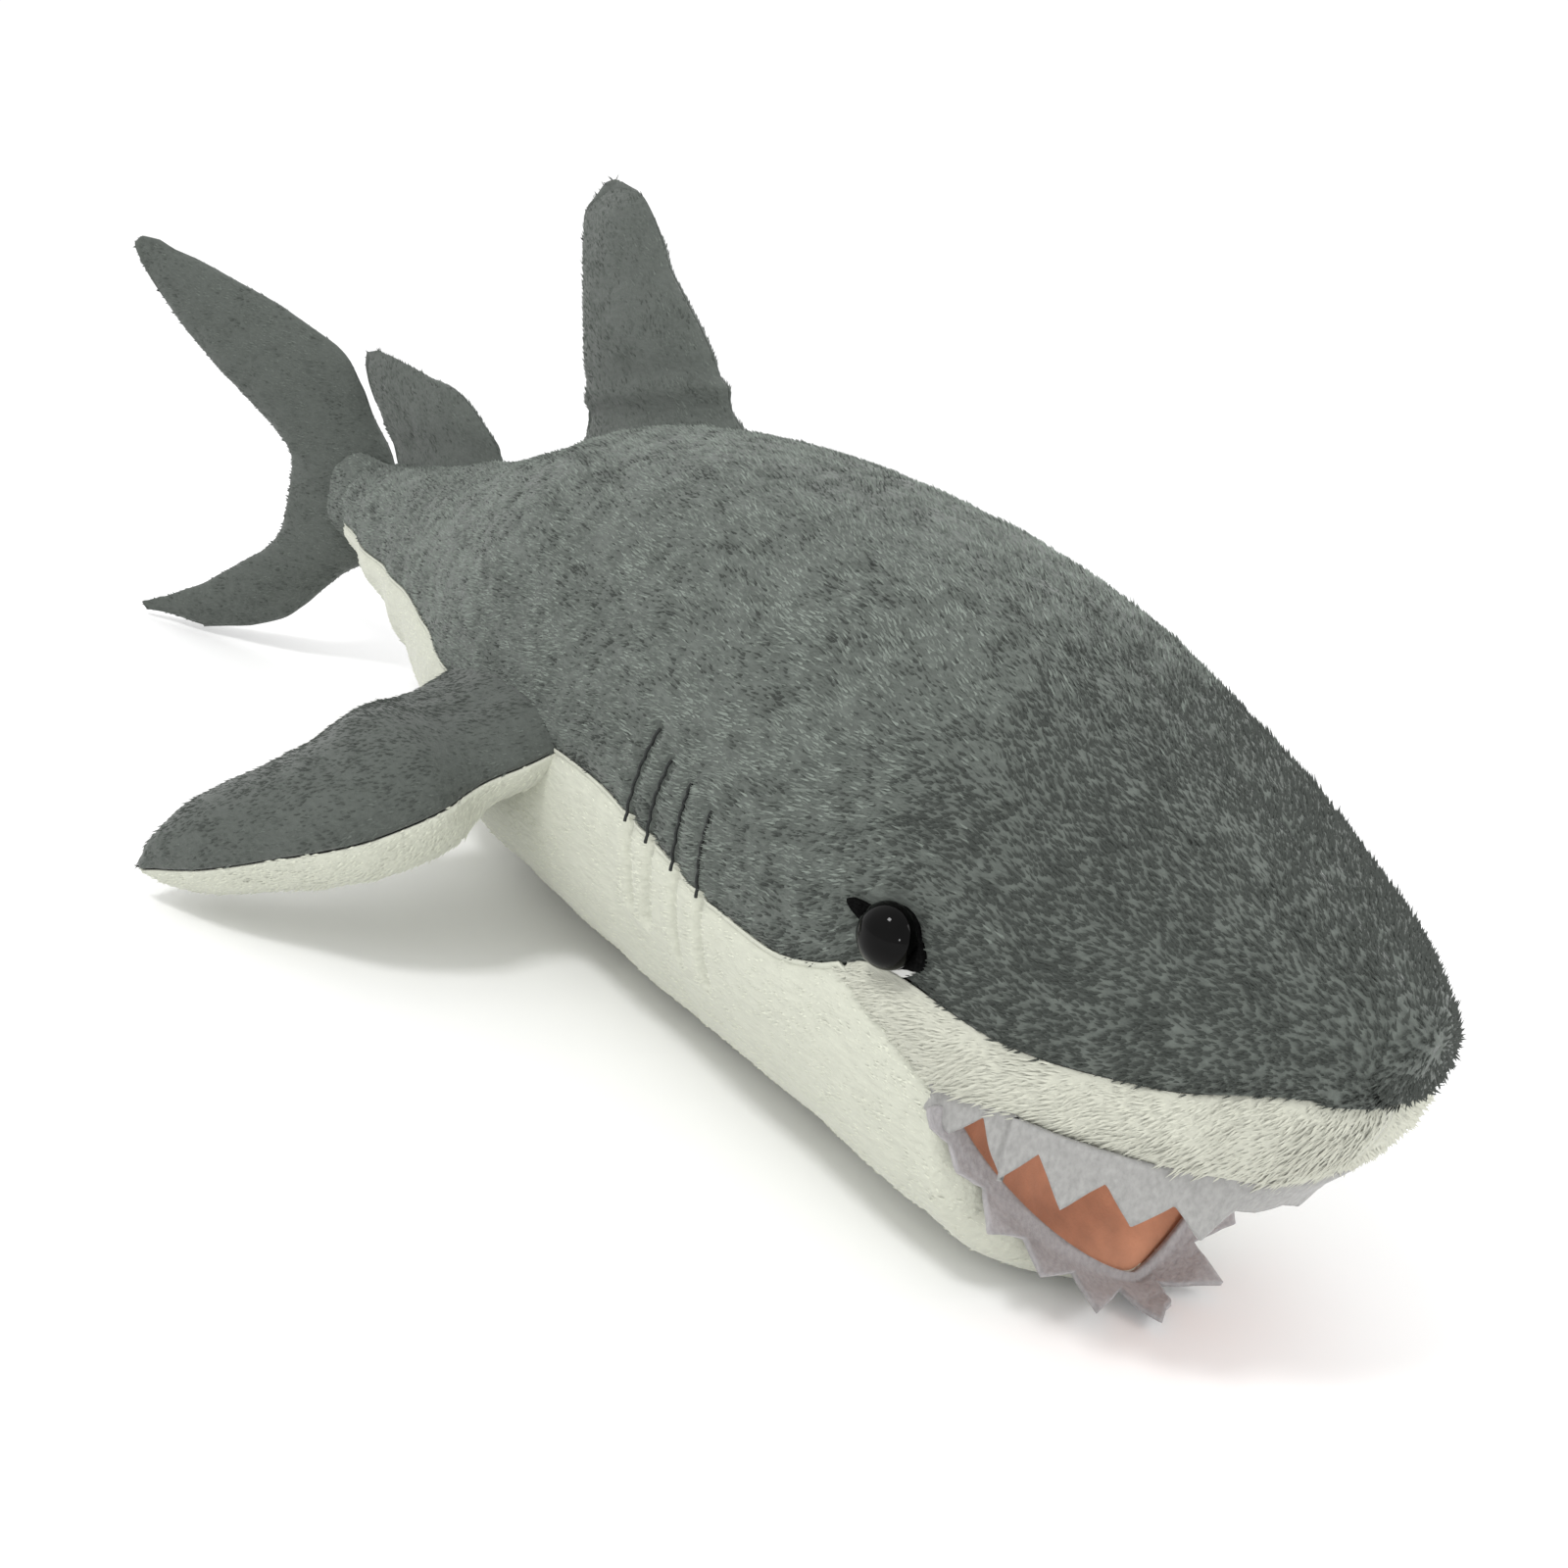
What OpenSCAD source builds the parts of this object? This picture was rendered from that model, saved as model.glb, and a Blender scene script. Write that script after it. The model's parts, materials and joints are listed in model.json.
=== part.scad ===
// Plush shark: sewn fabric skins over stuffed cores. The fins and the lower jaw flex at their seams.
// Frame: +X towards the nose, +Y to the shark's left, +Z up, floor at z = 0, millimetres.

/* [Body] */
// Distance from the nose tip back to the tail fin's seam
body_len = 440; // [420:5:460]
// Half width of the body at its widest
body_half_w = 60; // [56:1:64]
// Height of the back at its highest
body_high = 139; // [134:1:146]
// Thickness of the skin, backing and pile together
skin = 3; // [2.5:0.25:3.5]

/* [Mouth] */
// Height of the upper lip, the palate and the jaw's hinge line
lip_z = 46.5; // [46:0.5:48]
// Distance from the nose tip back to the mouth's corners
corner_s = 62; // [60:1:64]
// How far the open jaw's rim slopes down towards its front, in degrees
gape = 68; // [64:1:69]
// Length of the upper teeth below the lip
upper_tooth = 10.5; // [9:0.5:11]
// Length of the lower teeth beyond the jaw's rim
lower_tooth = 8; // [6:0.5:9]

/* [Eyes] */
// Diameter of each safety eye
eye_d = 13; // [12:0.5:15]
// Diameter of an eye's stem
stem_d = 4; // [3:0.5:5]

/* [Fins] */
// Droop of the pectoral fins below level, in degrees
pectoral_droop = 27.1; // [24:0.1:30]
// Lift of the pectoral fins' leading edges, in degrees
pectoral_pitch = 10; // [6:1:12]
// Resting sideways set of the tail fin, towards the shark's right, in degrees
tail_set = 36; // [0:1:40]
// Resting lean of the second dorsal fin, towards the shark's right, in degrees
second_lean = 8; // [0:1:10]
// Thickness of a fin's skin
fin_skin = 2.5; // [2:0.25:3]

/* [Hidden] */

GREY = [0.44, 0.48, 0.45];
CREAM = [0.88, 0.90, 0.83];
TERRACOTTA = [0.68, 0.42, 0.29];
FELT = [0.82, 0.83, 0.86];
BLACK = [0.03, 0.03, 0.03];
FILLING = [0.95, 0.95, 0.95];
WASHER = [0.75, 0.75, 0.72];

// The nose tip's place puts the middle of the whole length at x = 0.
nose_x = 264.7;
seam_gap = 0.4;
core_gap = 1;
big = 400;

// Body stations: distance behind the nose, half width, top, bottom.
BODY = [
    [0, 3, 82, 76], [3, 14, 85, 63], [9, 23, 89, 49], [18, 33, 94, 36], [30, 41.5, 100, 22],
    [45, 49, 107, 8], [62, 54, 114, 0], [80, 57, 121, -2], [100, 58.5, 128, -2.5],
    [150, 60, 137, -2.5], [200, 60, 139, -2.5], [250, 59, 134, -1], [285, 51.5, 121.5, 4], [310, 45, 112, 13],
    [335, 38.8, 104.5, 23], [360, 34, 98.5, 32], [390, 29, 91.3, 41.3], [415, 24.5, 85.8, 49],
    [425, 19.5, 82.6, 53.4], [430, 12, 79, 56],
];
// Height of the seam between the grey back and the cream below it.
SEAM = [
    [0, 66], [10, 66], [25, 62], [50, 59.5], [75, 61.5], [85, 60], [95, 54.5], [110, 50.5],
    [135, 51], [160, 56], [190, 60], [240, 57], [290, 61], [330, 67.5],
    [380, 65], [430, 65],
];
// The cheek crease rises from the mouth's corner to the seam, at the end of the muzzle piece.
crease_end = 90;
// Stations of the lofts.
SNOUT_S = [1.5, 3, 5.5, 9, 13, 18, 24, 30, 37, 45, 53, 62];
TRUNK_S = [70, 80, 90, 100, 115, 130, 150, 175, 200, 225, 250, 275, 300, 325, 350, 370, 390, 405, 415, 425, 430];
// How square the body's cross-section is: 1 is an ellipse, less is squarer.
squareness = 0.87;
nose_cap = 20;

len_k = body_len / 440;
wide_k = body_half_w / 60;
high_k = body_high / 139;

// Smooth value of column c of a table at x, through every row.
function row_below(tab, x, i = 0) = i >= len(tab) - 2 || x < tab[i + 1][0] ? i : row_below(tab, x, i + 1);
function slope_at(tab, c, i) =
    let (a = max(i - 1, 0), b = min(i + 1, len(tab) - 1)) (tab[b][c] - tab[a][c]) / (tab[b][0] - tab[a][0]);
function smooth(tab, c, x) =
    let (
        i = row_below(tab, x), p = tab[i], q = tab[i + 1], d = q[0] - p[0],
        t = min(max((x - p[0]) / d, 0), 1), u = 1 - t
    )
    p[c] * u * u * (1 + 2 * t) + slope_at(tab, c, i) * d * t * u * u
    + q[c] * t * t * (3 - 2 * t) - slope_at(tab, c, i + 1) * d * t * t * u;
function signed_pow(v, p) = sign(v) * pow(abs(v), p);

function half_w(s) = wide_k * smooth(BODY, 1, s);
function top_z(s) = high_k * smooth(BODY, 2, s);
function bottom_z(s) = smooth(BODY, 3, s);
function mid_z(s) = (top_z(s) + bottom_z(s)) / 2;
function half_h(s) = (top_z(s) - bottom_z(s)) / 2;
function seam_z(s) = smooth(SEAM, 1, s);
function x_at(s) = nose_x - s * len_k;

// A point of the body's skin, inset from its outer face. Angle 0 is the left side, 90 the top.
function body_pt(s, a, inset = 0) = [
    x_at(s) - inset * max(0, 1 - s / nose_cap),
    max(half_w(s) - inset, 0.4) * signed_pow(cos(a), squareness),
    mid_z(s) + max(half_h(s) - inset, 0.4) * signed_pow(sin(a), squareness),
];
function angle_at(s, z, inset = 0) =
    asin(signed_pow(min(max((z - mid_z(s)) / max(half_h(s) - inset, 0.4), -1), 1), 1 / squareness));

function flatten(rows) = [for (r = rows) for (p = r) p];
function dot_ones(v) = v * [for (x = v) 1];
function volume_of(p, f) = dot_ones([for (t = f) p[t[0]] * cross(p[t[1]], p[t[2]])]);
// The two triangles of every cell of a grid of points.
function cells(rows, cols, base = 0) = [
    for (r = [0:rows - 2], c = [0:cols - 2])
        let (a = base + r * cols + c)
        each [[a, a + 1, a + cols + 1], [a, a + cols + 1, a + cols]]
];
function strip(a, b) = [
    for (i = [0:len(a) - 2]) each [[a[i], a[i + 1], b[i + 1]], [a[i], b[i + 1], b[i]]]
];
function turned(faces) = [for (t = faces) [t[0], t[2], t[1]]];

module closed(points, faces) {
    polyhedron(points, volume_of(points, faces) > 0 ? turned(faces) : faces, convexity = 8);
}

// A curved panel between two grids of points, closed round its four edges.
module panel(outer, inner) {
    rows = len(outer);
    cols = len(outer[0]);
    n = rows * cols;
    edge = concat(
        [for (c = [0:cols - 1]) c],
        [for (r = [1:rows - 1]) r * cols + cols - 1],
        [for (c = [cols - 2:-1:0]) (rows - 1) * cols + c],
        [for (r = [rows - 2:-1:0]) r * cols]
    );
    closed(
        concat(flatten(outer), flatten(inner)),
        concat(cells(rows, cols), turned(cells(rows, cols, n)), turned(strip(edge, [for (i = edge) i + n])))
    );
}

// A solid through closed rings of points, with a flat end at each side.
module loft(rings) {
    count = len(rings);
    n = len(rings[0]);
    ends = [for (k = [0, count - 1]) [for (i = [0:2]) dot_ones([for (p = rings[k]) p[i]]) / n]];
    last = count * n;
    closed(
        concat(flatten(rings), ends),
        concat(
            [for (r = [0:count - 2], i = [0:n - 1])
                let (j = (i + 1) % n, a = r * n)
                each [[a + i, a + j, a + n + j], [a + i, a + n + j, a + n + i]]],
            [for (i = [0:n - 1]) [last, (i + 1) % n, i]],
            [for (i = [0:n - 1]) [last + 1, last - n + i, last - n + (i + 1) % n]]
        )
    );
}

// Everything below the floor, and everything in front of the throat's slanted wall.
module below_floor() { translate([-big, -big, -2 * big]) cube([2 * big, 2 * big, 2 * big]); }
throat_slant = 7;
module ahead_of_throat() {
    translate([x_at(corner_s), 0, lip_z]) rotate([0, throat_slant, 0])
        translate([0, -big, -big]) cube([big, 2 * big, big]);
}

// ---- torso skins ----
panel_cols = 7;
function between(a, b, n) = [for (i = [0:n]) a + (b - a) * i / n];
function crease_z(s) = lip_z + (seam_z(crease_end) - lip_z) * max(0, s - corner_s) / (crease_end - corner_s);
function below_back_z(s) = s < crease_end ? crease_z(s) : seam_z(s);

module back_panel(side) {
    function row(s, inset) =
        let (top = 90 - asin(min(0.5, seam_gap / 2 / half_w(s))))
        [for (a = between(angle_at(s, seam_z(s) + seam_gap / 2, inset), top, panel_cols))
            let (p = body_pt(s, a, inset)) [p[0], side * p[1], p[2]]];
    stations = concat([0], SNOUT_S, TRUNK_S);
    color(GREY) difference() {
        panel([for (s = stations) row(s, 0)], [for (s = stations) row(s, skin)]);
        at_eye(side) translate([0, 0, -10]) cylinder(d = stem_d + 0.4, h = 20, $fn = 24);
    }
}

module muzzle(side) {
    function row(s, inset) =
        let (
            high = angle_at(s, seam_z(s) - seam_gap / 2, inset),
            low = max(angle_at(s, crease_z(s) + seam_gap / 2, inset), -90 + asin(min(0.5, seam_gap / 2 / half_w(s))))
        )
        [for (a = between(low, high, 4))
            let (p = body_pt(s, a, inset)) [p[0], side * p[1], p[2]]];
    // The panel starts where the seam is above the snout's underside.
    stations = concat([4.2], [for (s = SNOUT_S) if (s > 5) s], [70, 80, crease_end - 4]);
    color(CREAM) panel([for (s = stations) row(s, 0)], [for (s = stations) row(s, skin)]);
}

module belly_panel() {
    function row(s, inset) =
        let (high = angle_at(s, below_back_z(s) - seam_gap / 2, inset))
        [for (a = between(high, -180 - high, 2 * panel_cols)) body_pt(s, a, inset)];
    stations = concat([corner_s], TRUNK_S);
    color(CREAM) difference() {
        panel([for (s = stations) row(s, 0)], [for (s = stations) row(s, skin)]);
        below_floor();
        ahead_of_throat();
    }
}

palate_t = 2;
module torso_stuffing() {
    inset = skin + core_gap;
    // Lowest level of the filling: above the palate ahead of the throat, above the belly's skin behind it.
    throat_s = corner_s + inset;
    throat_back = lip_z * tan(throat_slant) + 1;
    function least_z(s) =
        let (t = min(max((s - throat_s) / throat_back, 0), 1))
        (lip_z + palate_t + core_gap / 2) * (1 - t) + inset * t;
    function ring(s) = [for (a = [0:15:345]) let (p = body_pt(s, a, inset)) [p[0], p[1], max(p[2], least_z(s))]];
    stations = concat(SNOUT_S, [throat_s, throat_s + throat_back], [for (s = TRUNK_S) if (s > 75 && s < 427) s]);
    color(FILLING) difference() {
        loft([for (s = stations) ring(s)]);
        for (side = [-1, 1]) at_eye(side) {
            translate([0, 0, -skin - 5]) cylinder(d = washer_d + 2, h = 8, $fn = 32);
            translate([0, 0, -stem_len - 1]) cylinder(d = stem_d + 1, h = stem_len, $fn = 24);
        }
    }
}

module palate_lining() {
    function lip_y(s) = body_pt(s, angle_at(s, lip_z, skin), skin)[1] - 3 * seam_gap;
    side = [for (s = [16, 18, 21, 25, 30, 36, 43, 50, 57, corner_s]) [x_at(s), lip_y(s)]];
    last = len(side) - 1;
    color(TERRACOTTA) translate([0, 0, lip_z]) linear_extrude(palate_t)
        polygon(concat(side, [for (i = [last:-1:0]) [side[i][0], -side[i][1]]]));
}

// ---- teeth ----
felt_t = 1;
tooth_pitch = 14;
lip_reach = 50;
lip_half = 51.5;
// A point of the upper lip's curve in plan, t degrees round from its front.
function lip_pt(t, inset = 0) = [
    x_at(corner_s) + (lip_reach - inset) * cos(t), (lip_half - inset) * sin(t)
];
module upper_teeth() {
    stops = [for (k = [-11:11]) k * tooth_pitch / 2];
    // The teeth are shorter at the corners of the mouth and under the nose.
    function depth(k) = upper_tooth - 4.5 * pow(abs(k) / 11, 6) - 4.5 * exp(-pow(k / 2.6, 4));
    function edge_z(k) = lip_z - seam_gap - (k % 2 == 0 ? depth(k) : 2.5);
    rings = [for (k = [0:22])
        let (o = lip_pt(stops[k]), i = lip_pt(stops[k], felt_t), high = lip_z - seam_gap, low = edge_z(k - 11))
        [[o[0], o[1], high], [i[0], i[1], high], [i[0], i[1], low], [o[0], o[1], low]]];
    color(FELT) loft(rings);
}

// The open rim lies in a plane that slopes down from the hinge line; it narrows almost straight to its front.
rim_len = 47;
rim_half = 51.6;
rim_power = 1.35;
rim_reach = rim_len * cos(gape);
function rim_y(s) = rim_half * pow(max(0, 1 - pow((corner_s - s) / rim_reach, rim_power)), 1 / rim_power);
function rim_z(s) = lip_z - 0.8 - (corner_s - s) * tan(gape);
// A point of the rim t degrees round from its front, grown outwards in its own plane and lifted off it.
function rim_pt(t, grow = 0, lift = 0) =
    let (along = rim_len * pow(cos(t), 2 / rim_power) + grow * cos(t))
    [
        x_at(corner_s) + along * cos(gape) + lift * sin(gape),
        signed_pow(sin(t), 2 / rim_power) * rim_half + grow * sin(t),
        lip_z - 0.8 - along * sin(gape) + lift * cos(gape)
    ];
module on_rim_plane() { translate([x_at(corner_s), 0, lip_z - 0.8]) rotate([0, gape, 0]) children(); }
// The felt starts on the lining's edge and stands out level beyond the rim.
module lower_teeth() {
    clear = 0.4;
    function ring(t, len) =
        let (out = sign(t) * 90 * sqrt(abs(t) / 90), tip = rim_pt(t) + [len * cos(out), len * sin(out), clear])
        [rim_pt(t, -1.2, clear), tip, tip + [0, 0, felt_t], rim_pt(t, -1.2, clear + felt_t)];
    // The two teeth at the front are the longest.
    function tooth(k) = lower_tooth - 3 * pow(abs(k) / 9, 4) + 4 * max(0, 1 - abs(k) / 4);
    color(FELT) loft([for (k = [-9:9]) ring(k * 8, k % 2 == 0 ? 2.5 : tooth(k))]);
}

// ---- jaw ----
// Height of the chin's underside, by the distance behind the rim's front.
JAW_BOTTOM = [[0, 0.8], [2, -0.6], [5, -1.5], [20, -1.5]];
// Stations as shares of the rim's reach ahead of the hinge.
JAW_K = [0.985, 0.95, 0.88, 0.78, 0.65, 0.5, 0.34, 0.17, 0.035];
lining_t = 2;
function jaw_s(k) = corner_s - rim_reach * k;
function jaw_pt(k, a, inset, drop = 0) =
    let (
        s = jaw_s(k), b = s + inset * cos(gape) * max(0, 1 - (1 - k) * 3), z = rim_z(b) - drop,
        low = smooth(JAW_BOTTOM, 1, b - corner_s + rim_reach) + inset
    )
    [
        x_at(b), max(rim_y(s) - inset, 0.4) * signed_pow(cos(a), squareness),
        z - max(z - low, 0.4) * signed_pow(sin(a), squareness)
    ];
module chin_panel() {
    function row(k, inset) = [for (a = between(0, 180, 14)) jaw_pt(k, a, inset)];
    color(CREAM) difference() {
        panel([for (k = JAW_K) row(k, 0)], [for (k = JAW_K) row(k, skin)]);
        below_floor();
    }
}
module jaw_stuffing() {
    drop = (lining_t + 1) / cos(gape);
    function ring(k) = [for (a = between(0, 180, 14)) jaw_pt(k, a, skin + core_gap + 3, drop)];
    color(FILLING) loft([for (k = [0.66, 0.58, 0.5, 0.42, 0.34, 0.26]) ring(k)]);
}
module jaw_lining() {
    side = [for (k = [0.84, 0.8, 0.74, 0.66, 0.55, 0.4, 0.2, 0.05])
        [rim_len * k, rim_y(jaw_s(k + 0.08 * k * k)) - skin - 1.6]];
    last = len(side) - 1;
    color(TERRACOTTA) on_rim_plane() translate([0, 0, -lining_t]) linear_extrude(lining_t)
        polygon(concat(side, [for (i = [last:-1:0]) [side[i][0], -side[i][1]]]));
}

// ---- eyes ----
eye_s = 78;
eye_z = 69;
stem_len = 15;
washer_d = 16;
eye_tilt = 8;
// The eye's own frame on the skin: +Z out of the head, +Y towards the tail.
module at_eye(side) {
    a = angle_at(eye_s, eye_z);
    out = cross(body_pt(eye_s, a + 1) - body_pt(eye_s, a - 1), body_pt(eye_s + 1, a) - body_pt(eye_s - 1, a));
    n = out / norm(out) * (out[1] > 0 ? 1 : -1);
    mirror([0, side < 0 ? 1 : 0, 0]) translate(body_pt(eye_s, a)) rotate([0, acos(n[2]), atan2(n[1], n[0])])
        children();
}
module eye(side) {
    color(BLACK) at_eye(side) translate([0, 0, felt_t + 0.3]) {
        difference() {
            translate([0, 0, -0.8]) sphere(d = eye_d, $fn = 48);
            translate([0, 0, -eye_d]) cube([2 * eye_d, 2 * eye_d, 2 * eye_d], center = true);
        }
        translate([0, 0, -stem_len]) cylinder(d = stem_d, h = stem_len + 1, $fn = 24);
    }
}
module eye_patch(side) {
    reach = 11;
    color(BLACK) at_eye(side) translate([0, 0, 0.15]) rotate([0, 0, -eye_tilt]) linear_extrude(felt_t) difference() {
        union() {
            circle(d = eye_d + 0.6, $fn = 48);
            polygon([[0, -reach], [5.4, -3.9], [5.4, 3.9], [0, reach], [-5.4, 3.9], [-5.4, -3.9]]);
        }
        circle(d = stem_d + 0.4, $fn = 24);
    }
}
module eye_washer(side) {
    color(WASHER) at_eye(side) translate([0, 0, -skin - 2.6]) difference() {
        cylinder(d = washer_d, h = 1.6, $fn = 32);
        translate([0, 0, -1]) cylinder(d = stem_d + 0.3, h = 4, $fn = 24);
    }
}

// ---- gill stitches ----
// Each line: its bottom and top distance behind the nose, and its top height.
GILLS = [[135.5, 135, 71], [145.5, 143.5, 74], [156, 152, 76], [165, 158.5, 81]];
thread_r = 0.45;
module thread(path) {
    rings = [for (i = [0:len(path) - 1])
        let (
            p = path[i], ahead = path[min(i + 1, len(path) - 1)] - path[max(i - 1, 0)],
            side = cross(ahead, [0, 1, 0]), u = side / norm(side), v = cross(ahead, u) / norm(ahead)
        )
        [for (a = [0:60:300]) p + thread_r * (cos(a) * u + sin(a) * v)]];
    loft(rings);
}
module gill_stitches(side) {
    color(BLACK) for (g = GILLS) {
        low = seam_z(g[0]) + 1;
        thread([for (t = [0:0.2:1])
            let (s = g[0] + (g[1] - g[0]) * t * t, z = low + (g[2] - low) * t, p = body_pt(s, angle_at(s, z), -0.8))
            [p[0], side * p[1], p[2]]]);
    }
}

// ---- fins: stacks of lens sections ----
// Each row: height, leading edge, trailing edge and half thickness of a section.
DORSAL = [
    [-7, 29, -34, 0.3], [-5.8, 32.5, -37, 3.8], [-3.5, 33, -39.5, 6], [0, 30, -41, 7], [11, 22, -42, 8],
    [22, 13, -42.8, 7.7], [33, 4.2, -43.4, 6.9], [43, -1.8, -44, 5.8], [51, -7.5, -44, 4.3],
    [57.5, -14.5, -41.5, 2.5], [62, -25.5, -31.5, 0.5],
];
SECOND = [
    [-5, 30, -33, 0.3], [-4, 34, -38, 3], [-2.2, 35, -41, 4.5], [0, 32.5, -43, 5], [6, 25, -47.5, 5.8],
    [13, 16, -51.5, 5.6], [19, 4, -53.5, 4.8], [23.5, -13, -54.5, 3.8], [30, -34, -54.5, 2.3],
    [33.4, -48, -52, 0.5],
];
PECTORAL = [
    [-11, 24, -30, 0.3], [-9.5, 30, -33, 5.5], [-5.5, 33, -34, 11], [0, 33, -35.5, 17], [8, 36, -30, 19.5],
    [20, 34, -25, 18.5], [32, 27.5, -26.5, 17], [44, 15, -32, 15], [54, 3.5, -34, 12.5], [62, -8, -31, 9],
    [66.5, -17.5, -29, 5.5], [69, -24, -27, 0.6],
];
// For the tail fin the height is the world's, and both edges are distances behind its hinge.
TAIL = [
    [2, 66, 92, 0.5], [5, 50, 95, 3], [12, 34, 82, 5], [20, 24, 69, 6.3], [29, 15.5, 57, 7.2],
    [38, 7, 45, 7.8], [46, -5, 39, 8.2], [56, -8, 37, 8.5], [66, -8, 36.5, 8.5], [76, -8, 38, 8.5],
    [86, -4, 50, 8.2], [96, 4, 66, 7.8], [106, 10.5, 81, 7], [116, 20, 94, 6], [124, 38, 102, 5],
    [131, 62, 108, 3.8], [136, 84, 110, 2.5], [139, 99, 106, 0.5],
];
rim_gap = 0.15;
rim_t = 0.45;
lens_cols = 10;

function lens_pt(row, c, y) = [(row[1] + row[2]) / 2 + (row[1] - row[2]) / 2 * c, y, row[0]];
function lens_y(row, c) = rim_gap + rim_t + row[3] * sqrt(max(0, 1 - c * c));
module fin_face(table, side) {
    function grid(depth) = [for (row = table)
        [for (k = [0:lens_cols])
            let (c = -cos(180 * k / lens_cols), y = max(rim_gap, lens_y(row, c) - depth))
            lens_pt(row, c, side * y)]];
    panel(grid(0), grid(fin_skin));
}
module fin_core(table) {
    rows = [for (row = table) if (row[3] > fin_skin + 0.6) row];
    function ring(row) = [for (a = [0:15:345])
        let (c = 0.82 * cos(a), y = (row[3] - fin_skin - 0.2) * sin(a)) lens_pt(row, c, y)];
    loft([for (row = rows) ring(row)]);
}

// A fin's frame has +X towards its leading edge, +Y through its thickness and +Z along its height.
dorsal_front = 222;
dorsal_back = 304;
second_front = 348;
second_back = 426;
// The hinge line of a fin on the back lies above the skin by the fin's root and a little clearance.
module on_back(front, back, rise, lean = 0) {
    x = (x_at(front) + x_at(back)) / 2;
    z = (top_z(front) + top_z(back)) / 2;
    pitch = atan2(top_z(front) - top_z(back), x_at(front) - x_at(back));
    translate([x, 0, z]) rotate([0, -pitch, 0]) translate([0, 0, rise]) rotate([lean, 0, 0]) children();
}
dorsal_rise = 11.8;
second_rise = 6.6;
module dorsal_face(side) { color(GREY) on_back(dorsal_front, dorsal_back, dorsal_rise) fin_face(DORSAL, side); }
module dorsal_stuffing() { color(FILLING) on_back(dorsal_front, dorsal_back, dorsal_rise) fin_core(DORSAL); }
module second_dorsal_face(side) {
    color(GREY) on_back(second_front, second_back, second_rise, second_lean) fin_face(SECOND, side);
}
module second_dorsal_stuffing() {
    color(FILLING) on_back(second_front, second_back, second_rise, second_lean) fin_core(SECOND);
}

pectoral_s = 236;
pectoral_z = 44.3;
pectoral_y = body_half_w + 12.2;
module at_pectoral(side) {
    mirror([0, side < 0 ? 1 : 0, 0]) translate([x_at(pectoral_s), pectoral_y, pectoral_z])
        rotate([-90 - pectoral_droop, 0, 0]) rotate([0, 0, -pectoral_pitch]) children();
}
module pectoral_top(side) { color(GREY) at_pectoral(side) fin_face(PECTORAL, -1); }
module pectoral_underside(side) { color(CREAM) at_pectoral(side) fin_face(PECTORAL, 1); }
module pectoral_stuffing(side) { color(FILLING) at_pectoral(side) fin_core(PECTORAL); }

module at_tail() { translate([x_at(440), 0, 0]) rotate([0, 0, 180 + tail_set]) children(); }
// Turned half round, the fin's +Y side is the shark's right.
module tail_fin_face(side) { color(GREY) at_tail() fin_face(TAIL, -side); }
module tail_fin_stuffing() { color(FILLING) at_tail() fin_core(TAIL); }

torso_stuffing();
back_panel(-1);  // back_panel_right
back_panel(1);  // back_panel_left
belly_panel();
muzzle(-1);  // muzzle_right
muzzle(1);  // muzzle_left
palate_lining();
upper_teeth();
eye(-1);  // eye_right
eye(1);  // eye_left
eye_washer(-1);  // eye_washer_right
eye_washer(1);  // eye_washer_left
eye_patch(-1);  // eye_patch_right
eye_patch(1);  // eye_patch_left
gill_stitches(-1);  // gill_stitches_right
gill_stitches(1);  // gill_stitches_left
jaw_stuffing();
chin_panel();
jaw_lining();
lower_teeth();
pectoral_top(-1);  // pectoral_top_right
pectoral_underside(-1);  // pectoral_underside_right
pectoral_stuffing(-1);  // pectoral_stuffing_right
pectoral_top(1);  // pectoral_top_left
pectoral_underside(1);  // pectoral_underside_left
pectoral_stuffing(1);  // pectoral_stuffing_left
dorsal_face(-1);  // dorsal_face_right
dorsal_face(1);  // dorsal_face_left
dorsal_stuffing();
second_dorsal_face(-1);  // second_dorsal_face_right
second_dorsal_face(1);  // second_dorsal_face_left
second_dorsal_stuffing();
tail_fin_face(-1);  // tail_fin_face_right
tail_fin_face(1);  // tail_fin_face_left
tail_fin_stuffing();
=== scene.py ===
import json
import math

import bpy
import numpy as np
from mathutils import Matrix, Vector
from mathutils.bvhtree import BVHTree


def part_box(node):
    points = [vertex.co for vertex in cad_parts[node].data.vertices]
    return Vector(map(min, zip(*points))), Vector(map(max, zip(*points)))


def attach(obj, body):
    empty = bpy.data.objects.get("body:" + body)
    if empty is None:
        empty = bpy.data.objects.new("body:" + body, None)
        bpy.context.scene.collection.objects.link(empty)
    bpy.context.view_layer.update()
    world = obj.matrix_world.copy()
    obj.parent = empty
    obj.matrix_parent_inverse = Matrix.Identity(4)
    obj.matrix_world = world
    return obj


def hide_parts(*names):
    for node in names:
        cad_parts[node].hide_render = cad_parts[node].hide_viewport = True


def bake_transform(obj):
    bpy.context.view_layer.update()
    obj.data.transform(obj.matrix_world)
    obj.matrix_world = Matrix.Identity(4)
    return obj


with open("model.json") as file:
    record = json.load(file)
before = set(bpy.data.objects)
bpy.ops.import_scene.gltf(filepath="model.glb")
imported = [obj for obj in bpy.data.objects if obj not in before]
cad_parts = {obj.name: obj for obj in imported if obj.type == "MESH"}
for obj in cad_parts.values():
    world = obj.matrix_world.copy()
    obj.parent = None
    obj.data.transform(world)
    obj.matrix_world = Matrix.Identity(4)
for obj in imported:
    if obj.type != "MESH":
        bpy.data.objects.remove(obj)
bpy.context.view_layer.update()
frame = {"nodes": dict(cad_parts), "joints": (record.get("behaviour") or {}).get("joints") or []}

scene = bpy.context.scene
scene.view_settings.view_transform = "Standard"
MM = 0.001

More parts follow.
